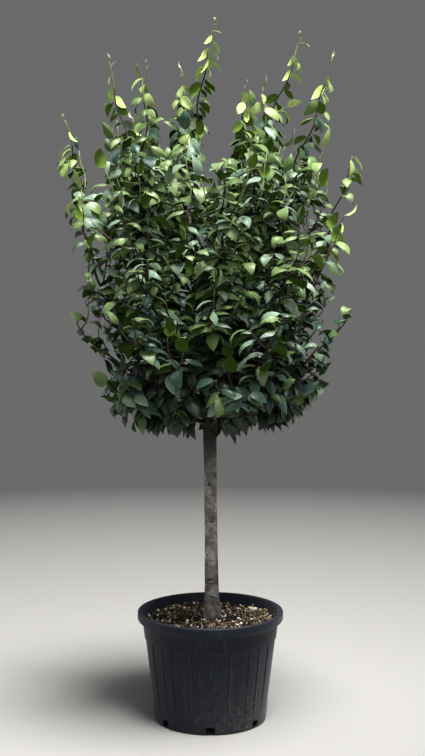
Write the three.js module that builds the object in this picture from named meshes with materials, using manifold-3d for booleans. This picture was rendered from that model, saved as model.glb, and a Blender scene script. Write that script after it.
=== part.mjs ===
// Potted standard quince tree, in millimetres, +Z up.
// A ribbed nursery pot full of compost, a clear trunk, and a vase-shaped crown of long upright shoots.
// The origin is the middle of the pot's flat underside, -Y is the front and +X is to the right.
import * as THREE from "three";
import { mergeVertices } from "three/addons/utils/BufferGeometryUtils.js";
import Module from "manifold-3d";

const wasm = await Module();
wasm.setup();

const GAP = 0.3; // clearance between neighbouring solids

// Pot
const POT_HEIGHT = 400;
const POT_FOOT_RADIUS = 188; // flat underside, inside the rounded heel
const POT_HEEL_RADIUS = 203.5; // wall just above the heel
const POT_HEEL_HEIGHT = 9;
const POT_SHOULDER_RADIUS = 246.5; // wall just under the rim
const RIM_HEIGHT = 35;
const RIM_RADIUS = 264;
const RIM_INNER_RADIUS = 247;
const WALL = 7;
const FLOOR = 5;
const PANEL_TOP = 304; // the plain band lies between here and the rim
const PANEL_FOOT = 34;
const PANEL_DEPTH = 2.5;
const PANEL_STEP = 1.5; // the middle of a panel lies this much deeper again
const PANEL_TURN = 120; // degrees from the middle of one panel to the next
const PANEL_MIDDLE = 36; // degrees that its deeper middle reaches to either side
const RIBS = [18, 48]; // degrees from a panel's middle
const RIB_HEIGHT = 1.5;
const PILASTERS = [66, 180, 294]; // flush strips between the panels, in degrees from the front
const PILASTER_HALF = 6;
const POT_SEGMENTS = 60;
const SLOTS = 7; // drainage slots through the heel
const SLOT_WIDTH = 32;
const SLOT_TOP = 22;
const SLOT_FOOT = 3;

// Compost
const SOIL_EDGE = 358;
const SOIL_CROWN = 372; // ground level at the trunk
const SOIL_SEAT = 52; // radius of the level ground that carries the trunk
const SOIL_SEGMENTS = 30;
const SOIL_SLOPE = 170; // the ground falls over this distance from the seat outwards
const SOIL_RELIEF = 5.4;
const SOIL_EDGE_DEPTH = 14; // how far below its surface the compost meets the wall

// Trunk, from ground level to the head where the boughs spring
const TRUNK_FOOT = new THREE.Vector3(6, 0, SOIL_CROWN + GAP);
const TRUNK_TIP = new THREE.Vector3(-4, 0, 1200);
const TRUNK_SIDES = 12;
const TRUNK_STEPS = 12;
// radius at a share of the trunk's height: flared foot, slim shaft, swollen head
const TRUNK_GIRTH = [
  [0, 34], [0.04, 30], [0.1, 26.5], [0.22, 24], [0.45, 22.5], [0.7, 22.6], [0.84, 25], [0.92, 27.5], [0.97, 21],
  [1, 13],
];
const HEAD_GIRTH = Math.max(...TRUNK_GIRTH.slice(-4).map(([, radius]) => radius));
const FLARE_LOBES = 5;
const FLARE_DEPTH = 0.1;
const FLARE_END = 0.1; // share of the trunk's height

// Leaders: long shoots that spring from the head. Azimuth runs from +X (right) over +Y (back), in degrees.
// reach is the distance of the leader's last leaf tip from the trunk, top its height, spring where the leader
// leaves the head, and arch how soon it spreads: 1 is straight, 3 leaves sideways and then climbs.
const LEADERS = [
  { name: "centre", azimuth: 20, reach: 24, top: 2518, spring: 1200, arch: 1.2, girth: 10.5 },
  { name: "centre_left", azimuth: 200, reach: 112, top: 2363, spring: 1172, arch: 1.5, girth: 8 },
  { name: "centre_back", azimuth: 60, reach: 260, top: 2330, spring: 1182, arch: 1.4, girth: 8 },
  { name: "left_mid", azimuth: 226, reach: 300, top: 2342, spring: 1150, arch: 2.2, girth: 9 },
  { name: "left_tall", azimuth: 161, reach: 385, top: 2404, spring: 1160, arch: 1.2, girth: 9 },
  { name: "left_far", azimuth: 188, reach: 512, top: 2180, spring: 1128, arch: 2.4, girth: 8 },
  { name: "right_mid", azimuth: 318, reach: 330, top: 2277, spring: 1156, arch: 1.4, girth: 9 },
  { name: "right_tall", azimuth: 26, reach: 378, top: 2494, spring: 1170, arch: 1.2, girth: 9 },
  { name: "right_far", azimuth: 344, reach: 432, top: 2379, spring: 1140, arch: 1.7, girth: 8.5 },
  { name: "right_wide", azimuth: 6, reach: 526, top: 2100, spring: 1118, arch: 2.3, girth: 8 },
  { name: "front", azimuth: 276, reach: 450, top: 2120, spring: 1140, arch: 1.9, girth: 8.5 },
  { name: "front_left", azimuth: 236, reach: 500, top: 1850, spring: 1122, arch: 1.6, girth: 7.5 },
  { name: "front_right", azimuth: 306, reach: 500, top: 1800, spring: 1118, arch: 1.6, girth: 7.5 },
  { name: "back_left", azimuth: 126, reach: 480, top: 2230, spring: 1146, arch: 2.1, girth: 8.5 },
  { name: "back_right", azimuth: 82, reach: 470, top: 2150, spring: 1134, arch: 2.1, girth: 8.5 },
];
// Lower shoots stand round the head in whorls: flank shoots slant up, skirt shoots lie almost level.
const WHORLS = [
  { name: "flank", count: 6, azimuth: 178, reach: 505, top: 1520, spring: 1106, arch: 1.7, girth: 7 },
  { name: "skirt", count: 5, azimuth: 216, reach: 425, top: 1250, spring: 1080, arch: 1.3, girth: 6.5 },
];
const HEAD_OFFSET = 15; // a leader starts this far from the trunk's middle, on its own side
const BOUGH_LENGTH = 95; // a bough ends here, where its mass of foliage begins
const BOUGH_SIDES = 5;
const TIP_GIRTH = 2.6;

// Crown outline: [height, radius] that side shoots and leaves stay inside
const CROWN = [
  [1000, 170], [1060, 330], [1150, 400], [1250, 430], [1450, 490], [1650, 510], [1850, 540], [2050, 558],
  [2200, 545], [2350, 450], [2450, 400], [2530, 300],
];

// Foliage: side shoots round each leader, and leaves round both
const SIDE_SHOOT_EVERY = 134;
const SIDE_SHOOT_LONGEST = 300;
const SIDE_SHOOT_SHORTEST = 110;
const SIDE_SHOOT_SPREAD = 0.15; // how far they differ from those lengths, as a share of them
const SIDE_SHOOT_ANGLE = THREE.MathUtils.degToRad(58);
const SIDE_SHOOT_RISE = 0.25;
const SIDE_SHOOTS_START = 0.03; // first and last side shoot, as shares of the leader past its bough
const SIDE_SHOOTS_END = 0.86;
const SIDE_SHOOT_CUTS = [1, 0.75, 0.55]; // shares of its length tried for a shoot that lacks room
const TURNS = 8; // directions tried round a shoot
const STEM_SIDES = 4;
const STEM_STEPS = 4;
const STEM_GIRTH = 0.9; // against the bough that it carries on
const TWIG_SIDES = 3;
const TWIG_GIRTH = 4;
const LEAF_EVERY = 51;
const LEAF_LENGTH = 145;
const LEAF_WIDTH = 100;
const LEAF_THICKNESS = 3;
const LEAF_SPREAD = 0.15; // how far leaves differ from the middle size, as a share of it
const LEAF_CUTS = [1, 0.7]; // sizes tried for a leaf that lacks room
const TIP_LEAF_SIZE = 0.85;
const LEAF_WIDEST = 0.42; // share of its length
const LEAF_ARCH = 0.09;
const LEAF_KEEL = 0.12; // how far its sides fall away from the middle, as a share of the half width
const LEAF_CLIMB = 0.4; // how far a leaf follows its shoot, sinks and turns, against its way outward
const LEAF_SINK = 0.45;
const LEAF_HANG = 0.6;
const LEAF_TWIST = 1.6;
const HANG_FROM = 1450; // leaves hang ever more steeply from this height down to the next
const HANG_TO = 1100;
const BARE_LEADER = 0.22; // the lowest share of a leader and of a side shoot that has no leaves of its own
const BARE_SHOOT = 0.3;
const BARE_HEART = 0.42; // nor has the heart of the crown, as a share of its radius, below the open top
const OPEN_TOP = 1950;
const LEAF_STALK = 0.16; // share of the way to its ridge in which a leaf may touch its twig
const ROOT_DEPTH = 1; // how far a leaf's base lies past the middle of its twig
const SPACE_MARGIN = 4; // a twig or leaf keeps this far inside its own mass's space
const LIMB_MARGIN = 4;
const SEED = 4207;

const UP = new THREE.Vector3(0, 0, 1);
const degrees = THREE.MathUtils.degToRad;

// A repeatable stream of numbers from 0 to 1.
function randomStream(seed) {
  let state = seed >>> 0;
  return () => {
    state = (state + 0x6d2b79f5) >>> 0;
    let mixed = Math.imul(state ^ (state >>> 15), state | 1);
    mixed ^= mixed + Math.imul(mixed ^ (mixed >>> 7), mixed | 61);
    return ((mixed ^ (mixed >>> 14)) >>> 0) / 4294967296;
  };
}

// A closed three.js geometry as a solid that can be joined and cut.
function toSolid(geometry) {
  const bare = geometry.clone();
  bare.deleteAttribute("normal");
  bare.deleteAttribute("uv");
  const merged = mergeVertices(bare, 1e-4);
  return new wasm.Manifold(new wasm.Mesh({
    numProp: 3,
    vertProperties: new Float32Array(merged.attributes.position.array),
    triVerts: new Uint32Array(merged.index.array),
  }));
}

// A solid's largest body as a three.js geometry.
function toGeometry(solid) {
  const bodies = solid.decompose().sort((a, b) => b.volume() - a.volume());
  const mesh = bodies[0].getMesh();
  const geometry = new THREE.BufferGeometry();
  geometry.setAttribute("position", new THREE.BufferAttribute(new Float32Array(mesh.vertProperties), 3));
  geometry.setIndex(new THREE.BufferAttribute(new Uint32Array(mesh.triVerts), 1));
  return geometry;
}

// A value read off a table of [place, value] rows, on a straight line between rows.
function lookUp(table, place) {
  const found = table.findIndex(([at], i) => i > 0 && at >= place);
  const next = found < 0 ? table.length - 1 : found;
  const [fromAt, from] = table[next - 1];
  const [toAt, to] = table[next];
  return THREE.MathUtils.mapLinear(Math.min(place, toAt), fromAt, toAt, from, to);
}

// A profile of [radius, height] pairs turned about +Z, with the angle counted from the front.
function turned(profile, segments) {
  const points = profile.map(([radius, height]) => new THREE.Vector2(radius, height));
  return new THREE.LatheGeometry(points, segments).rotateX(Math.PI / 2);
}

// Moves every vertex of a geometry by a function that changes the vector it is given.
function reshape(geometry, change) {
  const position = geometry.attributes.position;
  const point = new THREE.Vector3();
  for (let i = 0; i < position.count; i++) {
    change(point.fromBufferAttribute(position, i));
    position.setXYZ(i, point.x, point.y, point.z);
  }
  return geometry;
}

function degreesFromFront(point) {
  return THREE.MathUtils.radToDeg(Math.atan2(point.x, -point.y));
}

// How far the pot's wall is set in at an angle: pilasters stay out, panels lie in, with low ribs on them.
function panelDepth(angle) {
  const turn = Math.round(THREE.MathUtils.euclideanModulo(angle, 360));
  const between = (a, b) => Math.abs(THREE.MathUtils.euclideanModulo(a - b + 180, 360) - 180);
  if (PILASTERS.some((pilaster) => between(turn, pilaster) <= PILASTER_HALF)) return 0;
  const half = PANEL_TURN / 2;
  const fromMiddle = Math.abs(THREE.MathUtils.euclideanModulo(turn + half, PANEL_TURN) - half);
  const depth = fromMiddle <= PANEL_MIDDLE ? PANEL_DEPTH + PANEL_STEP : PANEL_DEPTH;
  return RIBS.includes(fromMiddle) ? depth - RIB_HEIGHT : depth;
}

function wallRadius(height) {
  const underRim = POT_HEIGHT - RIM_HEIGHT;
  return THREE.MathUtils.mapLinear(height, POT_HEEL_HEIGHT, underRim, POT_HEEL_RADIUS, POT_SHOULDER_RADIUS);
}

function makePot() {
  const underRim = POT_HEIGHT - RIM_HEIGHT;
  const profile = [
    [0, 0],
    [POT_FOOT_RADIUS, 0],
    [POT_HEEL_RADIUS - 2, POT_HEEL_HEIGHT],
    [wallRadius(PANEL_FOOT), PANEL_FOOT],
    [wallRadius(PANEL_FOOT + 4), PANEL_FOOT + 4],
    [wallRadius(PANEL_TOP - 3), PANEL_TOP - 3],
    [wallRadius(PANEL_TOP), PANEL_TOP],
    [POT_SHOULDER_RADIUS, underRim],
    [RIM_RADIUS - 2, underRim + 2],
    [RIM_RADIUS, POT_HEIGHT - 7],
    [RIM_RADIUS - 7, POT_HEIGHT],
    [RIM_INNER_RADIUS, POT_HEIGHT - 3],
    [wallRadius(underRim) - WALL, underRim],
    [wallRadius(FLOOR) - WALL, FLOOR],
    [0, FLOOR],
  ];
  const body = reshape(turned(profile, POT_SEGMENTS), (point) => {
    const radius = Math.hypot(point.x, point.y);
    const onPanel = point.z > PANEL_FOOT + 1 && point.z < PANEL_TOP - 1;
    if (onPanel && radius > wallRadius(point.z) - 1) {
      const scale = (radius - panelDepth(degreesFromFront(point))) / radius;
      point.set(point.x * scale, point.y * scale, point.z);
    }
  });
  let pot = toSolid(body);
  for (let i = 0; i < SLOTS; i++) {
    const slot = new THREE.BoxGeometry(SLOT_WIDTH, 4 * WALL, SLOT_TOP - SLOT_FOOT - FLOOR);
    slot.translate(0, -POT_HEEL_RADIUS, (SLOT_TOP + SLOT_FOOT + FLOOR) / 2);
    slot.rotateZ((i * 2 * Math.PI) / SLOTS);
    pot = pot.subtract(toSolid(slot));
  }
  return toGeometry(pot);
}

// Height of the compost: highest at the trunk, uneven further out.
function soilHeight(x, y) {
  const radius = Math.hypot(x, y);
  const fall = THREE.MathUtils.clamp((radius - SOIL_SEAT) / SOIL_SLOPE, 0, 1);
  const lumps = Math.sin(x / 31 + 1) * Math.cos(y / 27) + 0.6 * Math.sin(x / 14 - y / 17);
  const fade = THREE.MathUtils.smoothstep(radius, SOIL_SEAT, SOIL_SEAT + 40);
  return THREE.MathUtils.lerp(SOIL_CROWN, SOIL_EDGE, fall) + SOIL_RELIEF * lumps * fade;
}

function makeSoil() {
  const insideRadius = (height) => wallRadius(height) - WALL - GAP * 1.5;
  const rings = [SOIL_SEAT, 100, 150, 200];
  const edge = SOIL_EDGE - SOIL_EDGE_DEPTH;
  const foot = FLOOR + GAP;
  const profile = [
    [0, foot],
    [insideRadius(foot), foot],
    [insideRadius(edge), edge],
    ...rings.toReversed().map((radius) => [radius, SOIL_EDGE]),
    [0, SOIL_CROWN],
  ];
  return reshape(turned(profile, SOIL_SEGMENTS), (point) => {
    if (point.z >= SOIL_EDGE) point.z = soilHeight(point.x, point.y);
  });
}

// A frame that follows a curve: its point, and two directions square to it.
function frameAt(pointAt, share) {
  const step = 0.002;
  const before = pointAt(Math.max(0, share - step));
  const after = pointAt(Math.min(1, share + step));
  const along = after.sub(before).normalize();
  const side = new THREE.Vector3(0, 1, 0).cross(along).normalize();
  return { point: pointAt(share), along, side, other: along.clone().cross(side) };
}

// A tapering limb: a closed cylinder bent along a curve, with its radius given at each share of the way.
function limb(pointAt, radiusAt, { sides, steps, from = 0, to = 1 }) {
  const straight = new THREE.CylinderGeometry(1, 1, 1, sides, steps);
  return reshape(straight, (point) => {
    const share = THREE.MathUtils.lerp(from, to, point.y + 0.5);
    const turn = Math.atan2(point.z, point.x);
    const outward = Math.hypot(point.x, point.z) * radiusAt(share, turn);
    const frame = frameAt(pointAt, share);
    point.copy(frame.point)
      .addScaledVector(frame.side, outward * Math.sin(turn))
      .addScaledVector(frame.other, outward * Math.cos(turn));
  });
}

function trunkPoint(share) {
  return TRUNK_FOOT.clone().lerp(TRUNK_TIP, share);
}

function trunkGeometry(swell = 0) {
  const radiusAt = (share, turn) => {
    const flare = FLARE_DEPTH * Math.max(0, 1 - share / FLARE_END) * Math.cos(FLARE_LOBES * turn);
    return lookUp(TRUNK_GIRTH, share) * (1 + flare) + swell;
  };
  // the foot and the head are cut level
  const height = TRUNK_TIP.z - TRUNK_FOOT.z;
  return reshape(limb(trunkPoint, radiusAt, { sides: TRUNK_SIDES, steps: TRUNK_STEPS }), (point) => {
    const share = Math.round(((point.z - TRUNK_FOOT.z) / height) * TRUNK_STEPS) / TRUNK_STEPS;
    point.z = TRUNK_FOOT.z + height * share + (share === 1 ? swell : 0);
  });
}

// A leader's line from the trunk's middle to its tip.
function leaderPoint(leader, share) {
  const rise = (leader.spring - TRUNK_FOOT.z) / (TRUNK_TIP.z - TRUNK_FOOT.z);
  const foot = trunkPoint(Math.min(1, rise));
  const out = HEAD_OFFSET + (leader.reach - HEAD_OFFSET) * (1 - (1 - share) ** leader.arch);
  return new THREE.Vector3(
    foot.x + out * Math.cos(degrees(leader.azimuth)),
    foot.y + out * Math.sin(degrees(leader.azimuth)),
    THREE.MathUtils.lerp(leader.spring, leader.top, share),
  );
}

function leaderRadius(leader, share) {
  return THREE.MathUtils.lerp(leader.girth, TIP_GIRTH, share ** 0.7);
}

function leaderLength(leader) {
  return Math.hypot(leader.reach, leader.top - leader.spring);
}

// A whorl's shoots, spread evenly round the head and named by number.
function whorlLeaders(whorl) {
  return Array.from({ length: whorl.count }, (_, i) => ({
    ...whorl,
    name: `${whorl.name}_${i + 1}`,
    azimuth: whorl.azimuth + (i * 360) / whorl.count,
  }));
}

// Points along a leader, kept for measuring distances to it, and the share of it that is bough.
function withLine(leader) {
  const count = 24;
  const line = Array.from({ length: count + 1 }, (_, i) => leaderPoint(leader, i / count));
  return { ...leader, line, boughEnd: BOUGH_LENGTH / leaderLength(leader) };
}

function distanceToLine(point, line) {
  const segment = new THREE.Line3();
  const nearest = new THREE.Vector3();
  let least = Infinity;
  for (let i = 1; i < line.length; i++) {
    segment.set(line[i - 1], line[i]).closestPointToPoint(point, true, nearest);
    least = Math.min(least, nearest.distanceToSquared(point));
  }
  return Math.sqrt(least);
}

// True if a point lies inside the crown, in a leader's own share of it, clear of every bough and the trunk.
function inOwnSpace(point, own, leaders) {
  if (point.z < CROWN[0][0] || Math.hypot(point.x, point.y) > lookUp(CROWN, point.z)) return false;
  const toOwn = distanceToLine(point, own.line);
  const clearOfOthers = leaders.every(
    (other) => other === own || distanceToLine(point, other.line) > toOwn + 2 * SPACE_MARGIN,
  );
  if (!clearOfOthers) return false;
  const bough = own.line.slice(0, Math.ceil(own.boughEnd * (own.line.length - 1)) + 1);
  if (distanceToLine(point, bough) < own.girth + LIMB_MARGIN) return false;
  return distanceToLine(point, [trunkPoint(0), trunkPoint(1)]) > HEAD_GIRTH + LIMB_MARGIN;
}

// True outside the crown's bare heart.
function isLeafy({ x, y, z }) {
  return z > OPEN_TOP || Math.hypot(x, y) > BARE_HEART * lookUp(CROWN, z);
}

// The candidate that lies furthest from all the places taken before, or none.
function mostOpen(candidates, placeOf, taken) {
  let best = null;
  let bestRoom = -1;
  for (const candidate of candidates) {
    const place = placeOf(candidate);
    const room = taken.reduce((least, other) => Math.min(least, place.distanceToSquared(other)), Infinity);
    if (room > bestRoom) {
      best = candidate;
      bestRoom = room;
    }
  }
  return best;
}

// Directions square to a shoot, at even turns round it.
function directionsRound({ side, other }, phase) {
  return Array.from({ length: TURNS }, (_, i) => {
    const turn = phase + (i * 2 * Math.PI) / TURNS;
    return side.clone().multiplyScalar(Math.cos(turn)).addScaledVector(other, Math.sin(turn));
  });
}

function shootPoint(shoot, share) {
  return shoot.foot.clone()
    .addScaledVector(shoot.heading, shoot.length * share)
    .addScaledVector(UP, SIDE_SHOOT_RISE * shoot.length * share * share);
}

// Side shoots of one leader: long below and short above, each sent into the most open space round it.
function sideShoots(leader, leaders, tips, random) {
  const from = leader.boughEnd + SIDE_SHOOTS_START;
  const count = Math.round((leaderLength(leader) * (SIDE_SHOOTS_END - from)) / SIDE_SHOOT_EVERY);
  const shoots = [];
  for (let i = 0; i < count; i++) {
    const share = from + ((SIDE_SHOOTS_END - from) * (i + 0.5 * random())) / count;
    const frame = frameAt((s) => leaderPoint(leader, s), share);
    const vigour = 1 + SIDE_SHOOT_SPREAD * (2 * random() - 1);
    const full = THREE.MathUtils.lerp(SIDE_SHOOT_LONGEST, SIDE_SHOOT_SHORTEST, share) * vigour;
    const directions = directionsRound(frame, random() * 2 * Math.PI);
    for (const cut of SIDE_SHOOT_CUTS) {
      const candidates = directions.map((outward) => ({
        foot: frame.point,
        girth: Math.min(TWIG_GIRTH, 0.75 * leaderRadius(leader, share)),
        heading: frame.along.clone().multiplyScalar(Math.cos(SIDE_SHOOT_ANGLE))
          .addScaledVector(outward, Math.sin(SIDE_SHOOT_ANGLE)),
        length: full * cut,
      })).filter((shoot) => isLeafy(shootPoint(shoot, 1))
        && [0.5, 1].every((at) => inOwnSpace(shootPoint(shoot, at), leader, leaders)));
      const shoot = mostOpen(candidates, (candidate) => shootPoint(candidate, 1), tips);
      if (shoot) {
        shoots.push(shoot);
        tips.push(shootPoint(shoot, 1));
        break;
      }
    }
  }
  return shoots;
}

// A leaf's solid: a blade of five corners, ridged along its middle and arched over its widest part.
function leafCorners(foot, along, face, size) {
  const side = face.clone().cross(along).normalize();
  const normal = along.clone().cross(side);
  const length = LEAF_LENGTH * size;
  const corner = (distance, across, height) => foot.clone()
    .addScaledVector(along, distance)
    .addScaledVector(side, across)
    .addScaledVector(normal, height);
  const widest = LEAF_WIDEST * length;
  const arch = LEAF_ARCH * length;
  const half = (LEAF_WIDTH * size) / 2;
  return {
    root: corner(-ROOT_DEPTH, 0, 0),
    left: corner(widest, half, arch - LEAF_KEEL * half),
    right: corner(widest, -half, arch - LEAF_KEEL * half),
    tip: corner(length, 0, 0),
    ridge: corner(widest, 0, arch + LEAF_THICKNESS),
  };
}

function leafGeometry({ root, left, right, tip, ridge }) {
  const blade = new THREE.BufferGeometry().setFromPoints([root, left, right, tip, ridge]);
  return blade.setIndex([0, 2, 4, 2, 3, 4, 3, 1, 4, 1, 0, 4, 0, 1, 2, 1, 3, 2]);
}

// Where a shoot's wood ends and its last leaf starts, as a share of the shoot.
function tipSeat(length) {
  return Math.max(0.15, 1 - (TIP_LEAF_SIZE * LEAF_LENGTH) / length);
}

// Where leaves stand on a shoot, from one share of its length to its tip. The last carries the shoot on.
function leafSeats(pointAt, length, from, random) {
  const count = Math.max(1, Math.round((length * (1 - from)) / LEAF_EVERY));
  const end = tipSeat(length);
  const seats = [];
  for (let i = 0; i < count; i++) {
    const isTip = i === count - 1;
    const share = isTip ? end : THREE.MathUtils.lerp(from, end, (i + 0.5 * random()) / (count - 1));
    const size = isTip ? TIP_LEAF_SIZE : 1 + LEAF_SPREAD * (2 * random() - 1);
    const phase = random() * 2 * Math.PI;
    const twist = LEAF_TWIST * (2 * random() - 1);
    seats.push({ ...frameAt(pointAt, share), isTip, size, phase, twist });
  }
  return seats;
}

// The ways a leaf can stand at its seat: along the shoot at its tip, otherwise outward, and hanging low down.
function leafWays(seat, cut) {
  const hang = THREE.MathUtils.clamp((HANG_FROM - seat.point.z) / (HANG_FROM - HANG_TO), 0, 1);
  const fromAxis = new THREE.Vector3(seat.point.x, seat.point.y, 0).normalize();
  const round = UP.clone().cross(fromAxis);
  const face = UP.clone().addScaledVector(fromAxis, 0.9 + hang).addScaledVector(round, seat.twist);
  return directionsRound(seat, seat.phase).map((outward) => {
    const direction = seat.along.clone();
    if (seat.isTip) {
      direction.addScaledVector(outward, 0.1);
    } else {
      direction.multiplyScalar(LEAF_CLIMB * (1 - hang / 2)).add(outward);
      direction.addScaledVector(UP, -LEAF_SINK - LEAF_HANG * hang);
    }
    return leafCorners(seat.point, direction.normalize(), face, seat.size * cut);
  });
}

// The part of a leaf that has to be clear of everything: all but its stalk end.
function freePart(leaf) {
  return { ...leaf, root: leaf.root.clone().lerp(leaf.ridge, LEAF_STALK) };
}

function boughSolid(leader, swell = 0) {
  const geometry = limb(
    (share) => leaderPoint(leader, share),
    (share) => leaderRadius(leader, share) + swell,
    { sides: BOUGH_SIDES, steps: 1, to: leader.boughEnd },
  );
  return toSolid(geometry);
}

// One mass of foliage: a stem that carries on from its bough, side shoots and leaves, all in one solid.
function makeMass(leader, leaders, shoots, limbs, random) {
  const pointAt = (share) => leaderPoint(leader, share);
  const stemRadius = (share) => leaderRadius(leader, share) * STEM_GIRTH;
  const length = leaderLength(leader);
  const from = leader.boughEnd + (GAP * 1.2) / length;
  const stem = limb(pointAt, stemRadius, { sides: STEM_SIDES, steps: STEM_STEPS, from, to: tipSeat(length) });
  let mass = toSolid(stem);
  const seats = leafSeats(pointAt, length, BARE_LEADER, random);
  for (const shoot of shoots) {
    const along = (share) => shootPoint(shoot, share);
    const girthAt = (share) => THREE.MathUtils.lerp(shoot.girth, TIP_GIRTH, share);
    const twig = limb(along, girthAt, { sides: TWIG_SIDES, steps: 1, to: tipSeat(shoot.length) });
    mass = mass.add(toSolid(twig));
    seats.push(...leafSeats(along, shoot.length, BARE_SHOOT, random));
  }
  const ridges = [];
  const fits = (leaf) => {
    const free = freePart(leaf);
    const clear = Object.values(free).every((point) => inOwnSpace(point, leader, leaders));
    return clear && mass.intersect(toSolid(leafGeometry(free))).isEmpty();
  };
  for (const seat of seats.filter(({ point }) => isLeafy(point))) {
    const leaf = LEAF_CUTS.reduce(
      (found, cut) => found ?? mostOpen(leafWays(seat, cut).filter(fits), ({ ridge }) => ridge, ridges),
      null,
    );
    if (leaf) {
      ridges.push(leaf.ridge);
      mass = mass.add(toSolid(leafGeometry(leaf)));
    }
  }
  return toGeometry(mass.subtract(limbs));
}

const materials = {
  pot: new THREE.MeshStandardMaterial({ color: 0x23262b, roughness: 0.55, metalness: 0 }),
  soil: new THREE.MeshStandardMaterial({ color: 0x3a2a1e, roughness: 0.95, metalness: 0 }),
  bark: new THREE.MeshStandardMaterial({ color: 0x5b544c, roughness: 0.9, metalness: 0 }),
  leaf: new THREE.MeshStandardMaterial({ color: 0x3f5c3c, roughness: 0.6, metalness: 0 }),
};

const tree = new THREE.Group();

function addPiece(name, geometry, material) {
  const mesh = new THREE.Mesh(geometry, material);
  mesh.name = name;
  tree.add(mesh);
}

addPiece("pot", makePot(), materials.pot);
addPiece("soil", makeSoil(), materials.soil);
addPiece("trunk", trunkGeometry(), materials.bark);

const leaders = [...LEADERS, ...WHORLS.flatMap(whorlLeaders)].map(withLine);
let limbs = toSolid(trunkGeometry(GAP * 1.2));
for (const leader of leaders) {
  addPiece(`bough_${leader.name}`, toGeometry(boughSolid(leader).subtract(limbs)), materials.bark);
  limbs = limbs.add(boughSolid(leader, GAP * 1.2));
}

const random = randomStream(SEED);
const tips = [];
const shootsOf = leaders.map((leader) => sideShoots(leader, leaders, tips, random));
leaders.forEach((leader, i) => {
  addPiece(`foliage_${leader.name}`, makeMass(leader, leaders, shootsOf[i], limbs, random), materials.leaf);
});

export default tree;
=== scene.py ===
# Looks of a potted standard quince tree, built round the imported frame.
# Sizes are in millimetres, as in the part's source, and MM turns them into Blender's metres.
# +Z is up, -Y is the front and +X is to the right. The origin is the middle of the pot's underside.
# A pair is the least and the most of what is drawn, or where a change begins and where it is complete.
import itertools
import math

import bmesh
import bpy
import numpy as np
from mathutils import Matrix, Vector, noise


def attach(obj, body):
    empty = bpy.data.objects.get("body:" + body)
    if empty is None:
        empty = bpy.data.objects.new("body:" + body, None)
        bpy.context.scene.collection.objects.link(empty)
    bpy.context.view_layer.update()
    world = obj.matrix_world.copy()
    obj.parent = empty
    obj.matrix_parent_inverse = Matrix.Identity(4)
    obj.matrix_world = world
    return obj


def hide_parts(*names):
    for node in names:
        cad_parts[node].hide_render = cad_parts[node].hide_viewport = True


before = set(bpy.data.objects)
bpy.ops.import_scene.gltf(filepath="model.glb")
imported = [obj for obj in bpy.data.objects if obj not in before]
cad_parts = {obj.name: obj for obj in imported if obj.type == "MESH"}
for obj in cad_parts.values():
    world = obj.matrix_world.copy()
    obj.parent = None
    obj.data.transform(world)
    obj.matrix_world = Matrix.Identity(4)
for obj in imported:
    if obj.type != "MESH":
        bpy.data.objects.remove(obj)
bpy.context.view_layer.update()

MM = 0.001
UP = np.array((0.0, 0.0, 1.0))
SEED = 4207
LOOKS_SEED = 91

# Camera: at eye height, tilted a little down
CAMERA_DISTANCE = 4900
CAMERA_HEIGHT = 1690
CAMERA_SIDE = 7.5
CAMERA_PITCH = 5.2  # degrees below level
CAMERA_SIGHT = 200  # metres
LENS = 65.5
SENSOR = 36

# Soft lights from far away: name, place that it shines from, strength, softness in degrees, colour
LIGHTS = (
    ("overhead", (0.15, -0.2, 1), 10, 24, (1.0, 0.99, 0.97)),
    ("front", (0.25, -1, 0.6), 1.0, 50, (0.96, 0.98, 1.0)),
    ("left", (-1, 0.4, 0.45), 0.5, 60, (0.97, 0.98, 1.0)),
    ("right", (1, 0.4, 0.45), 0.25, 60, (0.97, 0.98, 1.0)),
)
DOME_LOW = (0.145, 0.145, 0.145)  # light of the sky near the ground and overhead
DOME_HIGH = (0.07, 0.07, 0.07)
DOME_TURNS = (0.3, 0.5)  # rise of a direction between which it changes

# Floor: pale round the plant and greyer far away
FLOOR_REACH = 60000
FLOOR_TURNS = (0.7, 5)  # distances in metres between which it changes
FLOOR_PALE = (0.25, 0.246, 0.238)
FLOOR_GREY = (0.0435, 0.0435, 0.0438)

# Pot
POT_HEIGHT = 400
POT_FOOT_RADIUS = 188
POT_HEEL_RADIUS = 203.5
POT_HEEL_HEIGHT = 9
POT_SHOULDER_RADIUS = 246.5
RIM_HEIGHT = 35
RIM_RADIUS = 264
RIM_INNER_RADIUS = 247
WALL = 7
LIP = 5  # height of the top of the rim, which is rubbed and painted lighter as a highlight
POT_FLOOR = 5  # thickness of the pot's floor
AXIS = 0.01  # radius of the tiny caps that close the profile at its axis
FOOT_RING = 10  # width of the ring that the pot stands on
FOOT_RAISED = 1.5  # how far the underside is raised inside that ring
HEEL_ROUND = 12  # radii of the profile's rounded corners
RIM_UNDER_ROUND = 10
RIM_TOP_ROUND = 7
RIM_INNER_ROUND = 3
PANEL_TOP = 304
PANEL_FOOT = 34
PANEL_DEPTH = 2.8
PANEL_STEP = 2.2  # how much deeper the middle of a panel lies
PANEL_TURN = 120  # degrees from panel to panel, and half the width of a panel's middle
PANEL_MIDDLE = 36
RIBS = (18, 48)  # degrees to each side of a panel's middle
RIB_HEIGHT = 3
RIB_HALF = 1.7  # degrees
PILASTERS = (66, 180, 294)  # degrees from the front, and half their width
PILASTER_HALF = 6
EDGE_SOFTNESS = 0.8  # degrees to each side of an edge over which it falls away
FILLET = 3.5
PANEL_RUNOUT = 60  # height over which a panel runs out into the heel
GROOVE_HALF = 0.8  # degrees to each side within which a step of the next depth makes a groove
GROOVE_STEP = 1.1
POT_SEGMENTS = 720
SLOTS = 7
SLOT_WIDTH = 32
SLOT_TOP = 30
SLOT_FOOT = 3
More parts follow.
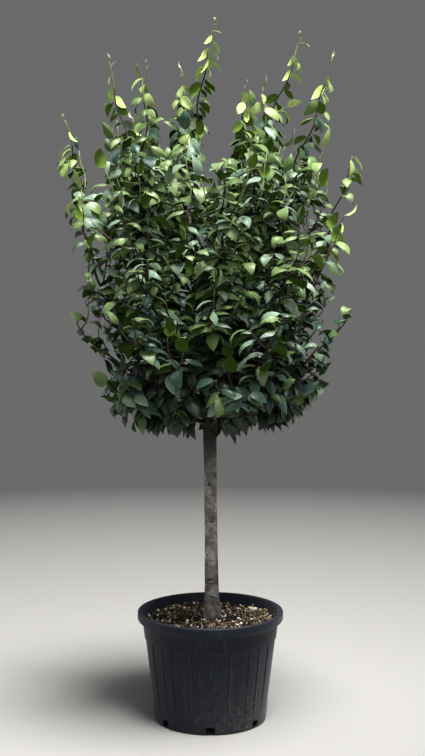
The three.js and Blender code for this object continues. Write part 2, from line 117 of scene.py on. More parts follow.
# Surfaces of the pot, in the order of its slots: name, two tones of their base colour
POT_SURFACES = (
    ("pot_plastic", (0.0021, 0.0040, 0.0090), (0.0043, 0.0070, 0.0135)),
    # rubbed top of the rim, painted lighter as a highlight as well
    ("pot_lip_rubbed_highlight", (0.0090, 0.0110, 0.0155), (0.0150, 0.0175, 0.0230)),
    # painted light: the inside is lighter, as if lit from the sky
    ("pot_inside_lit", (0.0060, 0.0090, 0.0165), (0.0110, 0.0150, 0.0240)),
    # painted shade in the grooves by the panels and under their top edge
    ("pot_groove_shade", (0.0014, 0.0020, 0.0036), (0.0022, 0.0032, 0.0052)),
    # painted highlight on the ribs' crests
    ("pot_ridge_highlight", (0.0085, 0.0110, 0.0160), (0.0130, 0.0160, 0.0220)),
)

# Compost
SOIL_EDGE = 358
SOIL_CROWN = 372
SOIL_SEAT = 52  # radius of the level place round the trunk, and width of the slope round that
SOIL_SLOPE = 170
SOIL_RELIEF = 5.4
SOIL_GRID = 2.4
SOIL_SIDES = 520
CLOD_HEIGHT = 17
CLOD_WIDTH = 26
SMALL_CLOD_HEIGHT = 15
SMALL_CLOD_WIDTH = 12
CRUMB_HEIGHT = 5
CRUMB_WIDTH = 5
CLODS_FROM = 36  # distance from the trunk where the clods begin, and over which they rise
CLODS_RISE = 30
CLODS_LEAST = 0.15  # share of their height that they have next to the trunk
# Hollows by the trunk: x, y, radius, depth
HOLLOWS = ((-78, -14, 66, 32), (72, -26, 48, 26))
HOLLOW_DARK = 0.8  # share of a hollow's radius in which the compost is dark and bare
CRUMBS = 2000
PERLITE = 480
CHIPS = 180
FIBRES = 90
# The largest lumps of perlite: x, y, size
LUMPS = ((166, 128, 24), (150, 136, 15), (-120, 60, 12), (95, -130, 12))
STREWN_MARGIN = 8  # how far crumbs, perlite and chips keep from the wall
STREWN_PROUD = 0.3  # most that their middles stand above the compost, as a share of their size
FIBRE_MARGIN = 24
FIBRE_LENGTH = (14, 38)
FIBRE_RADIUS = (0.7, 1.3)
# Base colours of what lies on the compost, and of the compost in its hollows
EARTH = {
    "crumb_black": (0.008, 0.006, 0.005),
    "crumb_dark": (0.018, 0.012, 0.009),
    "crumb_brown": (0.048, 0.032, 0.021),
    "crumb_rust": (0.15, 0.095, 0.056),
}
WHITE = {"perlite": (0.95, 0.93, 0.88), "perlite_cream": (0.80, 0.72, 0.50)}
STRAW = {"chip_tan": (0.44, 0.31, 0.18), "chip_brown": (0.12, 0.07, 0.04)}
FIBRE_PALE = (0.66, 0.57, 0.40)
HOLLOW_COLOUR = (0.022, 0.014, 0.009)

# Trunk
TRUNK_FOOT = np.array((6.0, 0.0, 372.3))
TRUNK_TIP = np.array((-4.0, 0.0, 1200.0))
# Share of the trunk's height, radius
TRUNK_GIRTH = (
    (0, 34), (0.04, 30), (0.1, 26.5), (0.22, 24), (0.45, 22.5), (0.7, 22.6), (0.84, 25), (0.92, 27.5),
    (0.97, 21), (1, 13),
)
HEAD_GIRTH = 27.5
FLARE_LOBES = 5
FLARE_DEPTH = 0.1
FLARE_END = 0.1
# Scars of cut shoots: height, azimuth, strength
KNOTS = (
    (1002, -85, 0.5), (864, -95, 0.9), (729, -85, 1.1), (605, -122, 0.6), (572, -128, 0.9), (516, -92, 1.2),
    (453, -78, 0.9), (930, 40, 0.8), (790, 120, 1), (655, 70, 0.7), (540, 150, 1),
)
KNOT_GIRTH = 24  # about the trunk's radius at the knots
KNOT_HALF = 30  # how far a knot reaches to each side, and up and down
KNOT_RISE = 26
KNOT_SWELL = 2.8  # height of the swelling and depth of the slit in it
KNOT_SLIT = 6.5
KNOT_DARK = -1.3  # relief below which a knot is dark, and above which it is pale
KNOT_PALE = 1.8
BARK_GRAIN = 2.2  # size of the mesh that carries the bark's relief

# Leaders, as in the part's source: name, azimuth, reach, top, spring, arch, girth
LEADERS = (
    ("centre", 20, 24, 2518, 1200, 1.2, 10.5),
    ("centre_left", 200, 112, 2363, 1172, 1.5, 8),
    ("centre_back", 60, 260, 2330, 1182, 1.4, 8),
    ("left_mid", 226, 300, 2342, 1150, 2.2, 9),
    ("left_tall", 161, 385, 2404, 1160, 1.2, 9),
    ("left_far", 188, 512, 2180, 1128, 2.4, 8),
    ("right_mid", 318, 330, 2277, 1156, 1.4, 9),
    ("right_tall", 26, 378, 2494, 1170, 1.2, 9),
    ("right_far", 344, 432, 2379, 1140, 1.7, 8.5),
    ("right_wide", 6, 526, 2100, 1118, 2.3, 8),
    ("front", 276, 450, 2120, 1140, 1.9, 8.5),
    ("front_left", 236, 500, 1850, 1122, 1.6, 7.5),
    ("front_right", 306, 500, 1800, 1118, 1.6, 7.5),
    ("back_left", 126, 480, 2230, 1146, 2.1, 8.5),
    ("back_right", 82, 470, 2150, 1134, 2.1, 8.5),
)
# Whorls of lower shoots: name, count, azimuth of the first, then as above
WHORLS = (
    ("flank", 6, 178, 505, 1520, 1106, 1.7, 7),
    ("skirt", 5, 216, 425, 1250, 1080, 1.3, 6.5),
)
GROUPS = ("centre", "left", "right", "front", "back", "flank", "skirt")  # first words of those names
HEAD_OFFSET = 15  # distance from the trunk's middle where they spring
BOUGH_LENGTH = 95
TIP_GIRTH = 2.6
LINE_STEPS = 24

# How far a leader and all it bears stand to the right of its smooth line: height, distance
BENDS = {
    "centre": ((1200, 0), (1430, -47), (1770, -68), (2077, -82), (2250, -50), (2380, -27), (2518, -3)),
    "left_mid": ((1250, 0), (1605, -43), (1835, -43), (2080, -18), (2342, 0)),
    "left_far": ((1250, 0), (1650, 4), (1850, 24), (1975, 40), (2180, 0)),
    "right_mid": ((1250, 0), (1700, -40), (2277, -60)),
    "right_tall": ((1250, 0), (1800, -45), (2175, -54), (2330, -33), (2494, 12)),
    "right_far": ((1250, 0), (1700, -45), (1995, -56), (2180, -28), (2379, 10)),
    "right_wide": ((1250, 0), (1600, -40), (1835, -55), (1965, -22), (2100, 0)),
    "back_right": ((1250, 0), (1900, 60), (2150, 90)),
}
BEND_FADES = ("left_far",)  # leaders whose bend doesn't carry along what they bear on their outer side
BEND_FADE = (20, 110)  # how far outside the leader it fades
SWAY = 7  # how far shoots stray from their smooth line
SWAY_WAVE = 210
SWAY_RADII = (40, 180)  # distance from the trunk over which they begin to

# Crown outline that twigs and leaves stay inside: height, radius
CROWN = np.array((
    (1000, 170), (1060, 330), (1150, 400), (1250, 430), (1450, 490), (1650, 510), (1850, 540),
    (2050, 558), (2200, 545), (2350, 450), (2450, 400), (2530, 300),
), float)
# Outline that the leaves keep to, drawn in towards the trunk's head: height, radius
LEAFY = np.array((
    (1000, 105), (1045, 258), (1098, 332), (1152, 385), (1234, 425), (1350, 458), (1450, 490),
    (1650, 508), (1850, 530), (2050, 540), (2200, 525), (2350, 460), (2450, 430), (2530, 410),
), float)
# Gaps between the shoots at the top: place from left to right at the foot, lean, half width, heights of
# foot and top
VALLEYS = (
    (-14, 0.2, 46, 1890, 2400),
    (-148, 0, 30, 2120, 2420),
    (-392, -0.05, 42, 1850, 2250),
    (436, 0, 32, 1790, 2250),
)
VALLEY_OPENS = 120  # height over which such a gap gets its full width
FRINGE = 70  # how far the foot of the crown is drawn up between its hanging tufts
FRINGE_TO = 1250  # height up to which it is
FRINGE_GAPS = (-107, -128, -160, -20, 25, 62, 100, 145)  # azimuths between those tufts
FRINGE_GAP_HALF = 14
HEAD_CLEAR = 42  # half width of the gap in front of the trunk's head, and its upper end
HEAD_SHOWS_TO = 1125
OPEN_TOP = 1950  # height above which the crown has no bare heart
SPACE_MARGIN = 4  # distance kept from the border of a leader's own space
LIMB_MARGIN = 4  # distance kept from the trunk and boughs
BAYS = 5
BAY_DEPTH = 62  # how far the crown's outline is set in between its outer shoots
BAY_WANDER = 150  # height over which the bays wander round the crown
BAY_RIPPLE = 62  # and over which the smaller waves in them do

# Branching rules. every is the distance between branches along what bears them, start and end the first
# and last place as shares of it, spread how much their lengths vary, cuts the shares of the full length
# that are tried, heart the share of the crown's radius inside which none ends, below the height above
# which none starts, and room the least distance to the shoots that are there.
SIDE_SHOOTS = {
    "every": 134, "start": 0.03, "end": 0.86, "longest": 300, "shortest": 110, "spread": 0.15,
    "angle": math.radians(58), "rise": 0.25, "girth": 4, "cuts": (1, 0.75, 0.55), "heart": 0.42,
    "below": 2600, "room": 0,
}
LEADER_TWIGS = {
    "every": 40, "start": 0.0, "end": 0.8, "longest": 330, "shortest": 110, "spread": 0.3,
    "angle": math.radians(26), "rise": 0.3, "girth": 5.5, "cuts": (1, 0.7, 0.5), "heart": 0.16,
    "below": 1860, "room": 80,
}
SHOOT_TWIGS = {
    "every": 36, "start": 0.15, "end": 1, "longest": 280, "shortest": 120, "spread": 0.3,
    "angle": math.radians(46), "rise": 1.3, "girth": 4.8, "cuts": (1, 0.7, 0.5), "heart": 0.16,
    "below": 1900, "room": 80,
}
TURNS = 8  # directions tried round a shoot
JITTER = 0.5  # how far a branch or leaf may stray along its own stretch
SPRING_GIRTH = 0.75  # most that a branch's girth may be of its bearer's
ROOM_LOW = 0.6  # share of a rule's room that is enough at the foot of the crown
ROOM_HEIGHTS = (1250, 1550)
ROOM_MIDDLE = 0.6  # and at the middle of a twig
AIRY_DEPTH = 115  # how far twigs keep back from the outline at the crown's airy top
AIRY_HEIGHTS = (1780, 2020)
TOP_TRIM = 0.6  # share that is left of a branch's length at the crown's top
TRIM_HEIGHTS = (1900, 2150)
TRIM_LEAST = 0.3  # share that is left of it at the crown's outline, at least

# Twigs
STEM_ROOM = 55  # distance between the places that a shoot takes up along its way
WOOD_TIP = 1.4  # radius where a shoot's wood ends
STEM_STEP = 16
LEADER_SIDES = 8
SHOOT_SIDES = 6
TWIG_SIDES = 5
BOUGH_OVERLAP = 0.9  # share of a bough after which the wood of its leader starts
GREEN_WOOD = 120  # length of a shoot's tip that is still green
GREEN_ABOVE = 1850  # height above which it is
BROWN_WOOD = 160  # length of a shoot's tip that is brown
TWIG_COLOURS = {
    "twig_dark": (0.016, 0.011, 0.009),
    "twig_brown": (0.040, 0.026, 0.018),
    "twig_green": (0.19, 0.22, 0.085),
}

# Leaves: places along a shoot, and which are missing
LEAF_EVERY = 14
LAST_LEAF = 30  # length left for the leaf at a shoot's tip
LEAST_WOOD = 0.3  # share of a shoot that is wood, at least
BARE_LEADER = 0.08  # share of each kind of shoot that bears no leaves at its foot
BARE_SHOOT = 0.12
BARE_TWIG = 0.12
BARE_HEART = 0.15  # share of the crown's radius inside which there are none
SPARSE_LEADER = 0.4  # share of a leader's leaves that is missing near the crown's outline and top
SPARSE = 0.6  # and of a side shoot's or twig's
SPARSE_RIM = (0.6, 0.82)
SPARSE_HEIGHTS = (1150, 1350)
SPARSE_TOP = 0.5  # how sparse the leaves are at the crown's top, against its outline
SPARSE_TOP_HEIGHTS = (1950, 2150)
YOUNG_KEPT = 1.6  # how soon a young side shoot keeps all its leaves

# Leaves: size and shape
LEAF_LENGTH = 70
LEAF_WIDTH = 42
LEAF_WIDTHS = (0.85, 1.1)
LEAF_SPREAD = 0.2  # how far their sizes vary
LEAF_THICKNESS = 0.8
LEAF_BULGE = 0.04  # how far each half of a blade swells, as a share of its width
LEAF_STALK = 11
STALK_HALF = 0.9
STALK_SUNK = 1.5  # how far a stalk starts inside its shoot
LEAF_BEND = (1.1, 2.3)  # radians from stalk to tip
LEAF_FOLD = (-0.95, 0.25)  # radians that each half rises from the midrib
LEAF_WAVE = (0.02, 0.07)
LEAF_CURL = 0.9
BLADE_STATIONS = (0.0, 0.05, 0.16, 0.34, 0.55, 0.76, 0.92, 1.0)
BEND_GROWTH = 1.3  # a blade bends more and more towards its tip
OUTLINE_BASE = 0.52  # exponents of the blade's outline at its base and tip
OUTLINE_TIP = 0.92
LOW_LENGTH = 1.08  # how much longer, wider and more twisted the leaves are at the foot of the crown
LOW_WIDTH = 1.15
LOW_TWIST = 1.4
TOP_SIZE = 0.88
TOP_SIZE_HEIGHTS = (1950, 2250)
YOUNG_SIZE = 0.8
YOUNG_SIZE_YOUTHS = (0.3, 0.8)
YOUNG_WIDTH = 0.8
YOUNG_FOLD = 0.4
YOUNG_FOLD_GROWTH = 1.5
BUD_SIZE = 0.5  # size of the youngest leaves, which stand up
BUD_YOUTHS = (0.74, 0.86)

# Leaves: attitude
LEAF_CLIMB = 0.4  # how far a leaf points along its shoot and down, against outward
LEAF_SINK = 1.1
LEAF_HANG = 0.3  # and how much further down where it hangs
LEAF_TWIST = 0.45
LEAF_LEAN = (-0.35, 0.42)  # how far a leaf's face leans outward, against upward
LEAF_LEAN_HANGING = (0.5, 2.9)  # and how much more where it hangs
BUD_CLIMB = 1.2
TIP_SPREAD = 0.25
FACING = 0.6  # share of the sprays that spread to the left and right of the front, not round the crown
LEAF_SIDEWAYS = 0.78  # leaves stand to the left and right of a shoot, at least this far
SIDEWAYS_SHARE = 0.9  # share of the leaves that do
HANG_FROM = 1330  # leaves hang from this height down, and in full at the next
HANG_TO = 1080
TOP_HANG = 0.6  # how much the leaves at the crown's top hang, against those at its foot
TOP_HANG_HEIGHTS = (1900, 2150)
YOUNG_HANG = 0.9
YOUNG_HANG_YOUTHS = (0.15, 0.45)
HANGING_BEND = 0.5  # how much a hanging leaf is bent and folded, against one that stands out
HANGING_FOLD = 0.6
LEAF_PROUD = 6  # how far outside the crown's outline a leaf's tip may reach

# Youth of leaves, from 0, full grown, to 1, just opened
YOUNG_LEADER = 260  # length of a shoot's tip that bears young leaves
YOUNG_SHOOT = 100
YOUNG_HEIGHTS = (2020, 2330)
YOUNG_EDGE = 0.9  # how young the leaves are on the outline below that
YOUNG_RIM = (0.82, 1)
YOUNG_RIM_HEIGHTS = (1850, 2050)
YOUNG_BESIDE = (0.8, 0.94)  # shares of the radius to the left or right, where it starts lower down
YOUNG_BESIDE_HEIGHTS = (1450, 1750)

# Base colours of a leaf's upper side and underside
LEAF_TOPS = {
    "dark": (0.066, 0.118, 0.028),
    # dark teal: the leaves' own tone, darkened as painted shade where it is dealt out at the crown's foot
    "teal": (0.030, 0.070, 0.046),
    "blue": (0.165, 0.250, 0.165),
    "mid": (0.142, 0.222, 0.070),
    "light": (0.215, 0.310, 0.092),
    "young": (0.275, 0.365, 0.125),
    "pale": (0.30, 0.355, 0.185),
    # painted shade: the darkest top, for the lower leaves in the crown's heart
    "shadow": (0.012, 0.024, 0.012),
}
LEAF_UNDERS = {
    "deep": (0.030, 0.070, 0.006),
    # painted light: an underside coloured lighter, as if lit
    "lit": (0.110, 0.185, 0.026),
    "felt": (0.19, 0.24, 0.14),
    # young undersides: their own pale green, with painted light as if lit through
    "fresh": (0.60, 0.79, 0.25),
    "downy": (0.64, 0.74, 0.42),
    # painted shade: the darkest underside, for the same leaves
    "dim": (0.008, 0.018, 0.004),
}
SHADES = tuple(LEAF_TOPS)
UNDERS = tuple(LEAF_UNDERS)
# Shades that are dealt out to sprays, to their odd leaves, and at the crown's foot and top. Those at the
# foot are mostly dark teal: the leaves' own tone, darkened as painted shade.
SPRAY_SHADES = ("dark", "blue", "blue", "mid", "mid")
ODD_SHADES = ("dark", "blue", "mid")
FOOT_SHADES = ("teal", "teal", "teal", "dark", "blue")
TOP_SHADES = ("dark", "teal", "mid")
ODD_SHARE = 0.4  # share of odd leaves
TOP_FROM = 2000  # height above which the shades of the crown's top are dealt out
TEAL_FADE = 320  # height over which the shades of the crown's foot give way to the sprays' own
SHADOW_RIM = 0.76  # share of the crown's radius within which the lower leaves are painted in deep shade
LIGHT_FROM = 0.1  # youths from which leaves are lighter, fresh with undersides painted as lit through, and pale
FRESH_FROM = 0.3
PALE_FROM = 0.78
FELT_FROM = 0.85  # draw from which an underside shows its felt
LIT_SHARE = 0.5  # share of the undersides that are painted lit at the crown's top
LIT_HEIGHTS = (1600, 2000)


def lerp(a, b, share):
    return a + (b - a) * share


def smooth(a, b, value):
    share = np.clip((value - a) / (b - a), 0, 1)
    return share * share * (3 - 2 * share)


def unit(vector):
    return vector / np.maximum(np.linalg.norm(vector, axis=-1, keepdims=True), 1e-12)


def random_stream(seed):
    """A repeatable stream of numbers from 0 to 1, the same as in the part's source."""
    mask = 0xFFFFFFFF
    state = seed

    def draw():
        nonlocal state
        state = (state + 0x6D2B79F5) & mask
        mixed = ((state ^ (state >> 15)) * (state | 1)) & mask
        mixed ^= (mixed + ((mixed ^ (mixed >> 7)) * (mixed | 61))) & mask
        return (mixed ^ (mixed >> 14)) / 4294967296

    return draw


# Meshes

class Shape:
    """Vertices, faces and the material slot of each face, gathered from many small parts."""

    def __init__(self):
        self.vertices = []
        self.faces = []
        self.slots = []
        self.count = 0

    def add(self, vertices, faces, slots=0):
        self.vertices.append(np.asarray(vertices, float))
        self.faces.extend((np.asarray(face) + self.count).tolist() for face in faces)
        self.slots.extend([slots] * len(faces) if np.isscalar(slots) else list(slots))
        self.count += len(vertices)

    def build(self, name, materials, sharp=None):
        mesh = bpy.data.meshes.new(name)
        mesh.from_pydata((np.concatenate(self.vertices) * MM).tolist(), [], self.faces)
        for material in materials:
            mesh.materials.append(material)
        mesh.polygons.foreach_set("material_index", self.slots)
        mesh.shade_smooth()
        if sharp:
            mesh.set_sharp_from_angle(angle=math.radians(sharp))
        mesh.update()
        piece = bpy.data.objects.new(name, mesh)
        bpy.context.scene.collection.objects.link(piece)
        return piece


def finish_piece(piece, slot, *nodes):
    """Makes a piece ride with the plant and hides the nodes that it stands for. Its slot is not used."""
    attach(piece, "root")
    if nodes:
        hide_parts(*nodes)


def apply_modifiers(piece):
    graph = bpy.context.evaluated_depsgraph_get()
    mesh = bpy.data.meshes.new_from_object(piece.evaluated_get(graph))
    piece.modifiers.clear()
    piece.data = mesh


def vectors(items, name):
    """One vector of every vertex or face of a mesh, as rows."""
    numbers = np.empty(len(items) * 3)
    items.foreach_get(name, numbers)
    return numbers.reshape(-1, 3)


def ring_faces(rings, corners):
    """Quads between rings of corners, the first ring's cap and the last ring's."""
    faces = []
    for ring in range(0, (rings - 1) * corners, corners):
        for j in range(corners):
            k = (j + 1) % corners
            faces.append((ring + j, ring + k, ring + corners + k, ring + corners + j))
    faces.append(tuple(range(corners - 1, -1, -1)))
    faces.append(tuple(range((rings - 1) * corners, rings * corners)))
    return faces


def tube(points, radii, sides):
    """A closed tube round a line of points."""
    points = np.asarray(points, float)
    along = unit(np.gradient(points, axis=0))
    reference = np.eye(3)[np.argmin(np.abs(along.mean(axis=0)))]
    side = unit(np.cross(reference, along))
    other = np.cross(along, side)
    turns = np.arange(sides) * 2 * math.pi / sides
    outward = (
        side[:, None, :] * np.cos(turns)[None, :, None]
        + other[:, None, :] * np.sin(turns)[None, :, None]
    )
    rings = points[:, None, :] + outward * np.asarray(radii, float)[:, None, None]
    return rings.reshape(-1, 3), ring_faces(len(points), sides)


# Growth: leaders and branches, by the rule of the part's source

def trunk_point(share):
    return lerp(TRUNK_FOOT, TRUNK_TIP, share)


def frame_at(point_at, share):
    """A curve's point, its direction, and two directions square to it."""
    step = 0.002
    before = point_at(max(0, share - step))
    after = point_at(min(1, share + step))
    along = unit(after - before)
    side = unit(np.cross((0, 1, 0), along))
    return point_at(share), along, side, np.cross(along, side)


class Leader:
    """A long shoot from the trunk's head to its tip. Its first stretch is the bough."""

    def __init__(self, name, azimuth, reach, top, spring, arch, girth):
        self.name = self.leader = name
        self.group = name.split("_")[0]
        self.azimuth = math.radians(azimuth)
        self.reach, self.top, self.spring, self.arch, self.girth = reach, top, spring, arch, girth
        self.length = math.hypot(reach, top - spring)
        self.bough_end = BOUGH_LENGTH / self.length
        self.line = np.array([self.point(i / LINE_STEPS) for i in range(LINE_STEPS + 1)])

    def point(self, share):
        foot = trunk_point(min(1, (self.spring - TRUNK_FOOT[2]) / (TRUNK_TIP[2] - TRUNK_FOOT[2])))
        out = HEAD_OFFSET + (self.reach - HEAD_OFFSET) * (1 - (1 - share) ** self.arch)
        return np.array((
            foot[0] + out * math.cos(self.azimuth),
            foot[1] + out * math.sin(self.azimuth),
            lerp(self.spring, self.top, share),
        ))

    def radius(self, share):
        return lerp(self.girth, TIP_GIRTH, share ** 0.7)

    def wood_radius(self, share):
        return lerp(self.girth, WOOD_TIP, share ** 0.7)


class Shoot:
    """A branch that rises a little towards its tip."""

    bough_end = 0
    springs_at = 0  # place on what bears it, as a share of its length

    def __init__(self, foot, heading, length, rise, girth, leader):
        self.foot, self.heading, self.length, self.rise, self.girth = foot, heading, length, rise, girth
        self.leader = leader

    def point(self, share):
        return (
            self.foot
            + self.heading * self.length * share
            + UP * self.rise * self.length * share * share
        )

    def radius(self, share):
        return lerp(self.girth, TIP_GIRTH, share)

    def wood_radius(self, share):
        return lerp(self.girth, WOOD_TIP, share ** 1.6)


def all_leaders():
    leaders = [Leader(*row) for row in LEADERS]
    for name, count, azimuth, *sizes in WHORLS:
        for i in range(count):
            leaders.append(Leader(f"{name}_{i + 1}", azimuth + i * 360 / count, *sizes))
    return leaders


def distance_to_segments(points, starts, ends):
    """Distance from each of n points to each of m segments, as an n by m array."""
    span = ends - starts
    offset = points[:, None, :] - starts[None]
    share = np.clip((offset * span).sum(-1) / (span * span).sum(-1), 0, 1)
    return np.linalg.norm(offset - share[..., None] * span, axis=-1)


class Crown:
    """The space of the crown, shared out among the leaders."""

    def __init__(self, leaders):
        self.leaders = leaders
        self.starts = np.concatenate([leader.line[:-1] for leader in leaders])
        self.ends = np.concatenate([leader.line[1:] for leader in leaders])

    def inside(self, points, proud=0):
        """True for the points inside the outline, or up to proud outside it."""
        radius = np.hypot(points[:, 0], points[:, 1])
        return (points[:, 2] >= CROWN[0, 0]) & (radius <= np.interp(points[:, 2], *CROWN.T) + proud)

    def leafy(self, points, proud=0):
        """The same for the narrower outline of the leaves, with its gaps at the top and before the head."""
        x, y, z = points.T
        before_head = (np.abs(x) < HEAD_CLEAR) & (y < 0)
        turn = np.degrees(np.arctan2(y, x))
        from_gap = np.abs((turn[:, None] - FRINGE_GAPS + 180) % 360 - 180).min(axis=1)
        fringe = FRINGE * smooth(FRINGE_GAP_HALF, FRINGE_GAP_HALF / 3, from_gap) * (z < FRINGE_TO)
        foot = np.where(before_head, HEAD_SHOWS_TO, LEAFY[0, 0])
        leafy = (z >= foot) & (np.hypot(x, y) <= np.interp(z - fringe, *LEAFY.T) + proud)
        for middle, lean, half, low, high in VALLEYS:
            above = z - low
            wide = half * np.clip(above / VALLEY_OPENS, 0, 1) * (z < high)
            leafy &= np.abs(x - middle - lean * above) >= wide
        return leafy

    def own_space(self, points, leader, in_outline):
        """True for points in the outline and the leader's own space, clear of its bough and the trunk."""
        own = self.leaders.index(leader)
        distances = distance_to_segments(points, self.starts, self.ends)
        distances = distances.reshape(len(points), len(self.leaders), LINE_STEPS).min(axis=2)
        others = np.delete(distances, own, axis=1).min(axis=1)
        clear = in_outline & (others > distances[:, own] + 2 * SPACE_MARGIN)
        last = math.ceil(leader.bough_end * LINE_STEPS)
        bough = distance_to_segments(points, leader.line[:last], leader.line[1:last + 1]).min(axis=1)
        trunk = distance_to_segments(points, trunk_point(0)[None], trunk_point(1)[None])[:, 0]
        return clear & (bough >= leader.girth + LIMB_MARGIN) & (trunk > HEAD_GIRTH + LIMB_MARGIN)


def is_leafy(points, heart):
    """True outside the bare heart that the crown has below its open top."""
    radius = np.hypot(points[:, 0], points[:, 1])
    return (points[:, 2] > OPEN_TOP) | (radius > heart * np.interp(points[:, 2], *CROWN.T))


class Places:
    """Places taken so far, and the choice of the candidate that lies furthest from all of them."""

    def __init__(self, capacity=20000):
        self.taken = np.full((capacity, 3), 1e9)
        self.count = 0

    def take(self, place):
        self.taken[self.count] = place
        self.count += 1

    def take_along(self, bearer):
        """Takes places all along a shoot, past its foot."""
        for share in np.arange(STEM_ROOM, bearer.length, STEM_ROOM) / bearer.length:
            self.take(bearer.point(share))

    def room(self, candidates):
        """Distance from each candidate to the nearest place that is taken."""
        if not self.count:
            return np.full(len(candidates), np.inf)
        gaps = candidates[:, None, :] - self.taken[None, :self.count]
        return np.sqrt((gaps * gaps).sum(-1).min(axis=1))

    def most_open(self, candidates):
        return int(np.argmax(self.room(candidates)))


def bay(place):
    """How far the outline of the crown is set in at a place, between the shoots that make it up."""
    turn = math.atan2(place[1], place[0])
    broad = math.sin(BAYS * turn + 2 * math.sin(2 * turn) + place[2] / BAY_WANDER)
    wave = 0.7 * math.sin(place[2] / BAY_RIPPLE + 3 * turn) - broad
    return BAY_DEPTH * min(1, max(0, 0.5 + 0.4 * wave))


def directions_round(side, other, phase):
    turns = phase + np.arange(TURNS) * 2 * math.pi / TURNS
    return side * np.cos(turns)[:, None] + other * np.sin(turns)[:, None]


def trimmed(shoot, crown):
    """The stretch of a shoot inside the outline of the leaves, shorter still at the crown's top."""
    shares = np.linspace(TRIM_LEAST, 1, 15)
    inside = crown.leafy(bent([shoot.point(share) for share in shares], shoot.leader))
    share = shares[np.argmin(inside)] if not inside.all() else 1
    share *= lerp(1, TOP_TRIM, smooth(*TRIM_HEIGHTS, shoot.foot[2]))
    return Shoot(
        shoot.foot, shoot.heading, shoot.length * share, shoot.rise * share, shoot.girth, shoot.leader)


def fitting(ends, middles, leader, rule, set_in, crown, tips):
    """True for the branches, told by their ends and middles, that fit into their leader's own space.

    Twigs, which have a room of their own, are tested where their leader's bend brings them.
    """
    moved_ends, moved_middles = ends, middles
    if rule["room"]:
        moved_ends, moved_middles = bent(ends, leader.name), bent(middles, leader.name)
    fits = is_leafy(ends, rule["heart"])
    fits &= crown.own_space(ends, leader, crown.inside(moved_ends, proud=-set_in))
    fits &= crown.own_space(middles, leader, crown.inside(moved_middles))
    if rule["room"]:
        fits &= crown.leafy(moved_ends) & crown.leafy(moved_middles)
        room = rule["room"] * lerp(ROOM_LOW, 1, smooth(*ROOM_HEIGHTS, ends[:, 2]))
        fits &= (tips.room(ends) > room) & (tips.room(middles) > ROOM_MIDDLE * room)
    return fits


def branches(parent, leader, rule, crown, tips, draw):
    """Branches along a leader or shoot: long below, short above, each sent into the most open space."""
    start = parent.bough_end + rule["start"]
    stretch = rule["end"] - start
    count = round(parent.length * stretch / rule["every"])
    grown = []
    for i in range(count):
        share = start + stretch * (i + JITTER * draw()) / count
        foot, along, side, other = frame_at(parent.point, share)
        vigour = 1 + rule["spread"] * (2 * draw() - 1)
        full = lerp(rule["longest"], rule["shortest"], share) * vigour
        outward = directions_round(side, other, draw() * 2 * math.pi)
        headings = along * math.cos(rule["angle"]) + outward * math.sin(rule["angle"])
        girth = min(rule["girth"], SPRING_GIRTH * parent.radius(share))
        if foot[2] > rule["below"]:
            continue
        set_in = bay(foot) + AIRY_DEPTH * smooth(*AIRY_HEIGHTS, foot[2]) if rule["room"] else 0
        for cut in rule["cuts"]:
            shoots = [Shoot(foot, way, full * cut, rule["rise"], girth, leader.name) for way in headings]
            ends = np.array([shoot.point(1) for shoot in shoots])
            middles = np.array([shoot.point(0.5) for shoot in shoots])
            fits = fitting(ends, middles, leader, rule, set_in, crown, tips)
            if fits.any():
                chosen = np.flatnonzero(fits)[tips.most_open(ends[fits])]
                shoot = trimmed(shoots[chosen], crown)
                shoot.springs_at = share
                grown.append(shoot)
                tips.take(ends[chosen])
                if rule["room"]:
                    tips.take_along(shoots[chosen])
                break
    return grown


def bent(points, leader):
    """Points of a leader or of what it bears, moved by the leader's own bend."""
    points = np.array(points, float)
    if leader in BENDS:
        shift = np.interp(points[..., 2], *np.array(BENDS[leader], float).T)
        if leader in BEND_FADES:
            reach, top, spring, arch = next(row for row in LEADERS if row[0] == leader)[2:6]
            share = np.clip((points[..., 2] - spring) / (top - spring), 0, 1)
            outside = np.hypot(points[..., 0], points[..., 1]) - reach * (1 - (1 - share) ** arch)
            shift = shift * (1 - smooth(*BEND_FADE, outside))
        points[..., 0] += shift
    return points


def swayed(points, leader):
    """Bent points, moved by slow waves as well, though not next to the trunk."""
    points = np.asarray(points, float)
    wave = points * (2 * math.pi / SWAY_WAVE)
    x, y, z = wave[..., 0], wave[..., 1], wave[..., 2]
    shift = np.stack((
        np.sin(z + 1.3) + 0.6 * np.sin(1.9 * y + 0.7 * z),
        np.sin(0.9 * z + 4.1) + 0.6 * np.sin(1.7 * x - 0.6 * z),
        0.5 * np.sin(1.1 * x + 2.0) + 0.5 * np.sin(1.3 * y + 0.4),
    ), axis=-1)
    radius = np.hypot(points[..., 0], points[..., 1])
    height = np.maximum(points[..., 2] - TRUNK_TIP[2], 0)
    fade = smooth(*SWAY_RADII, np.maximum(radius, height))
    return bent(points, leader) + SWAY * fade[..., None] * shift


# Leaves

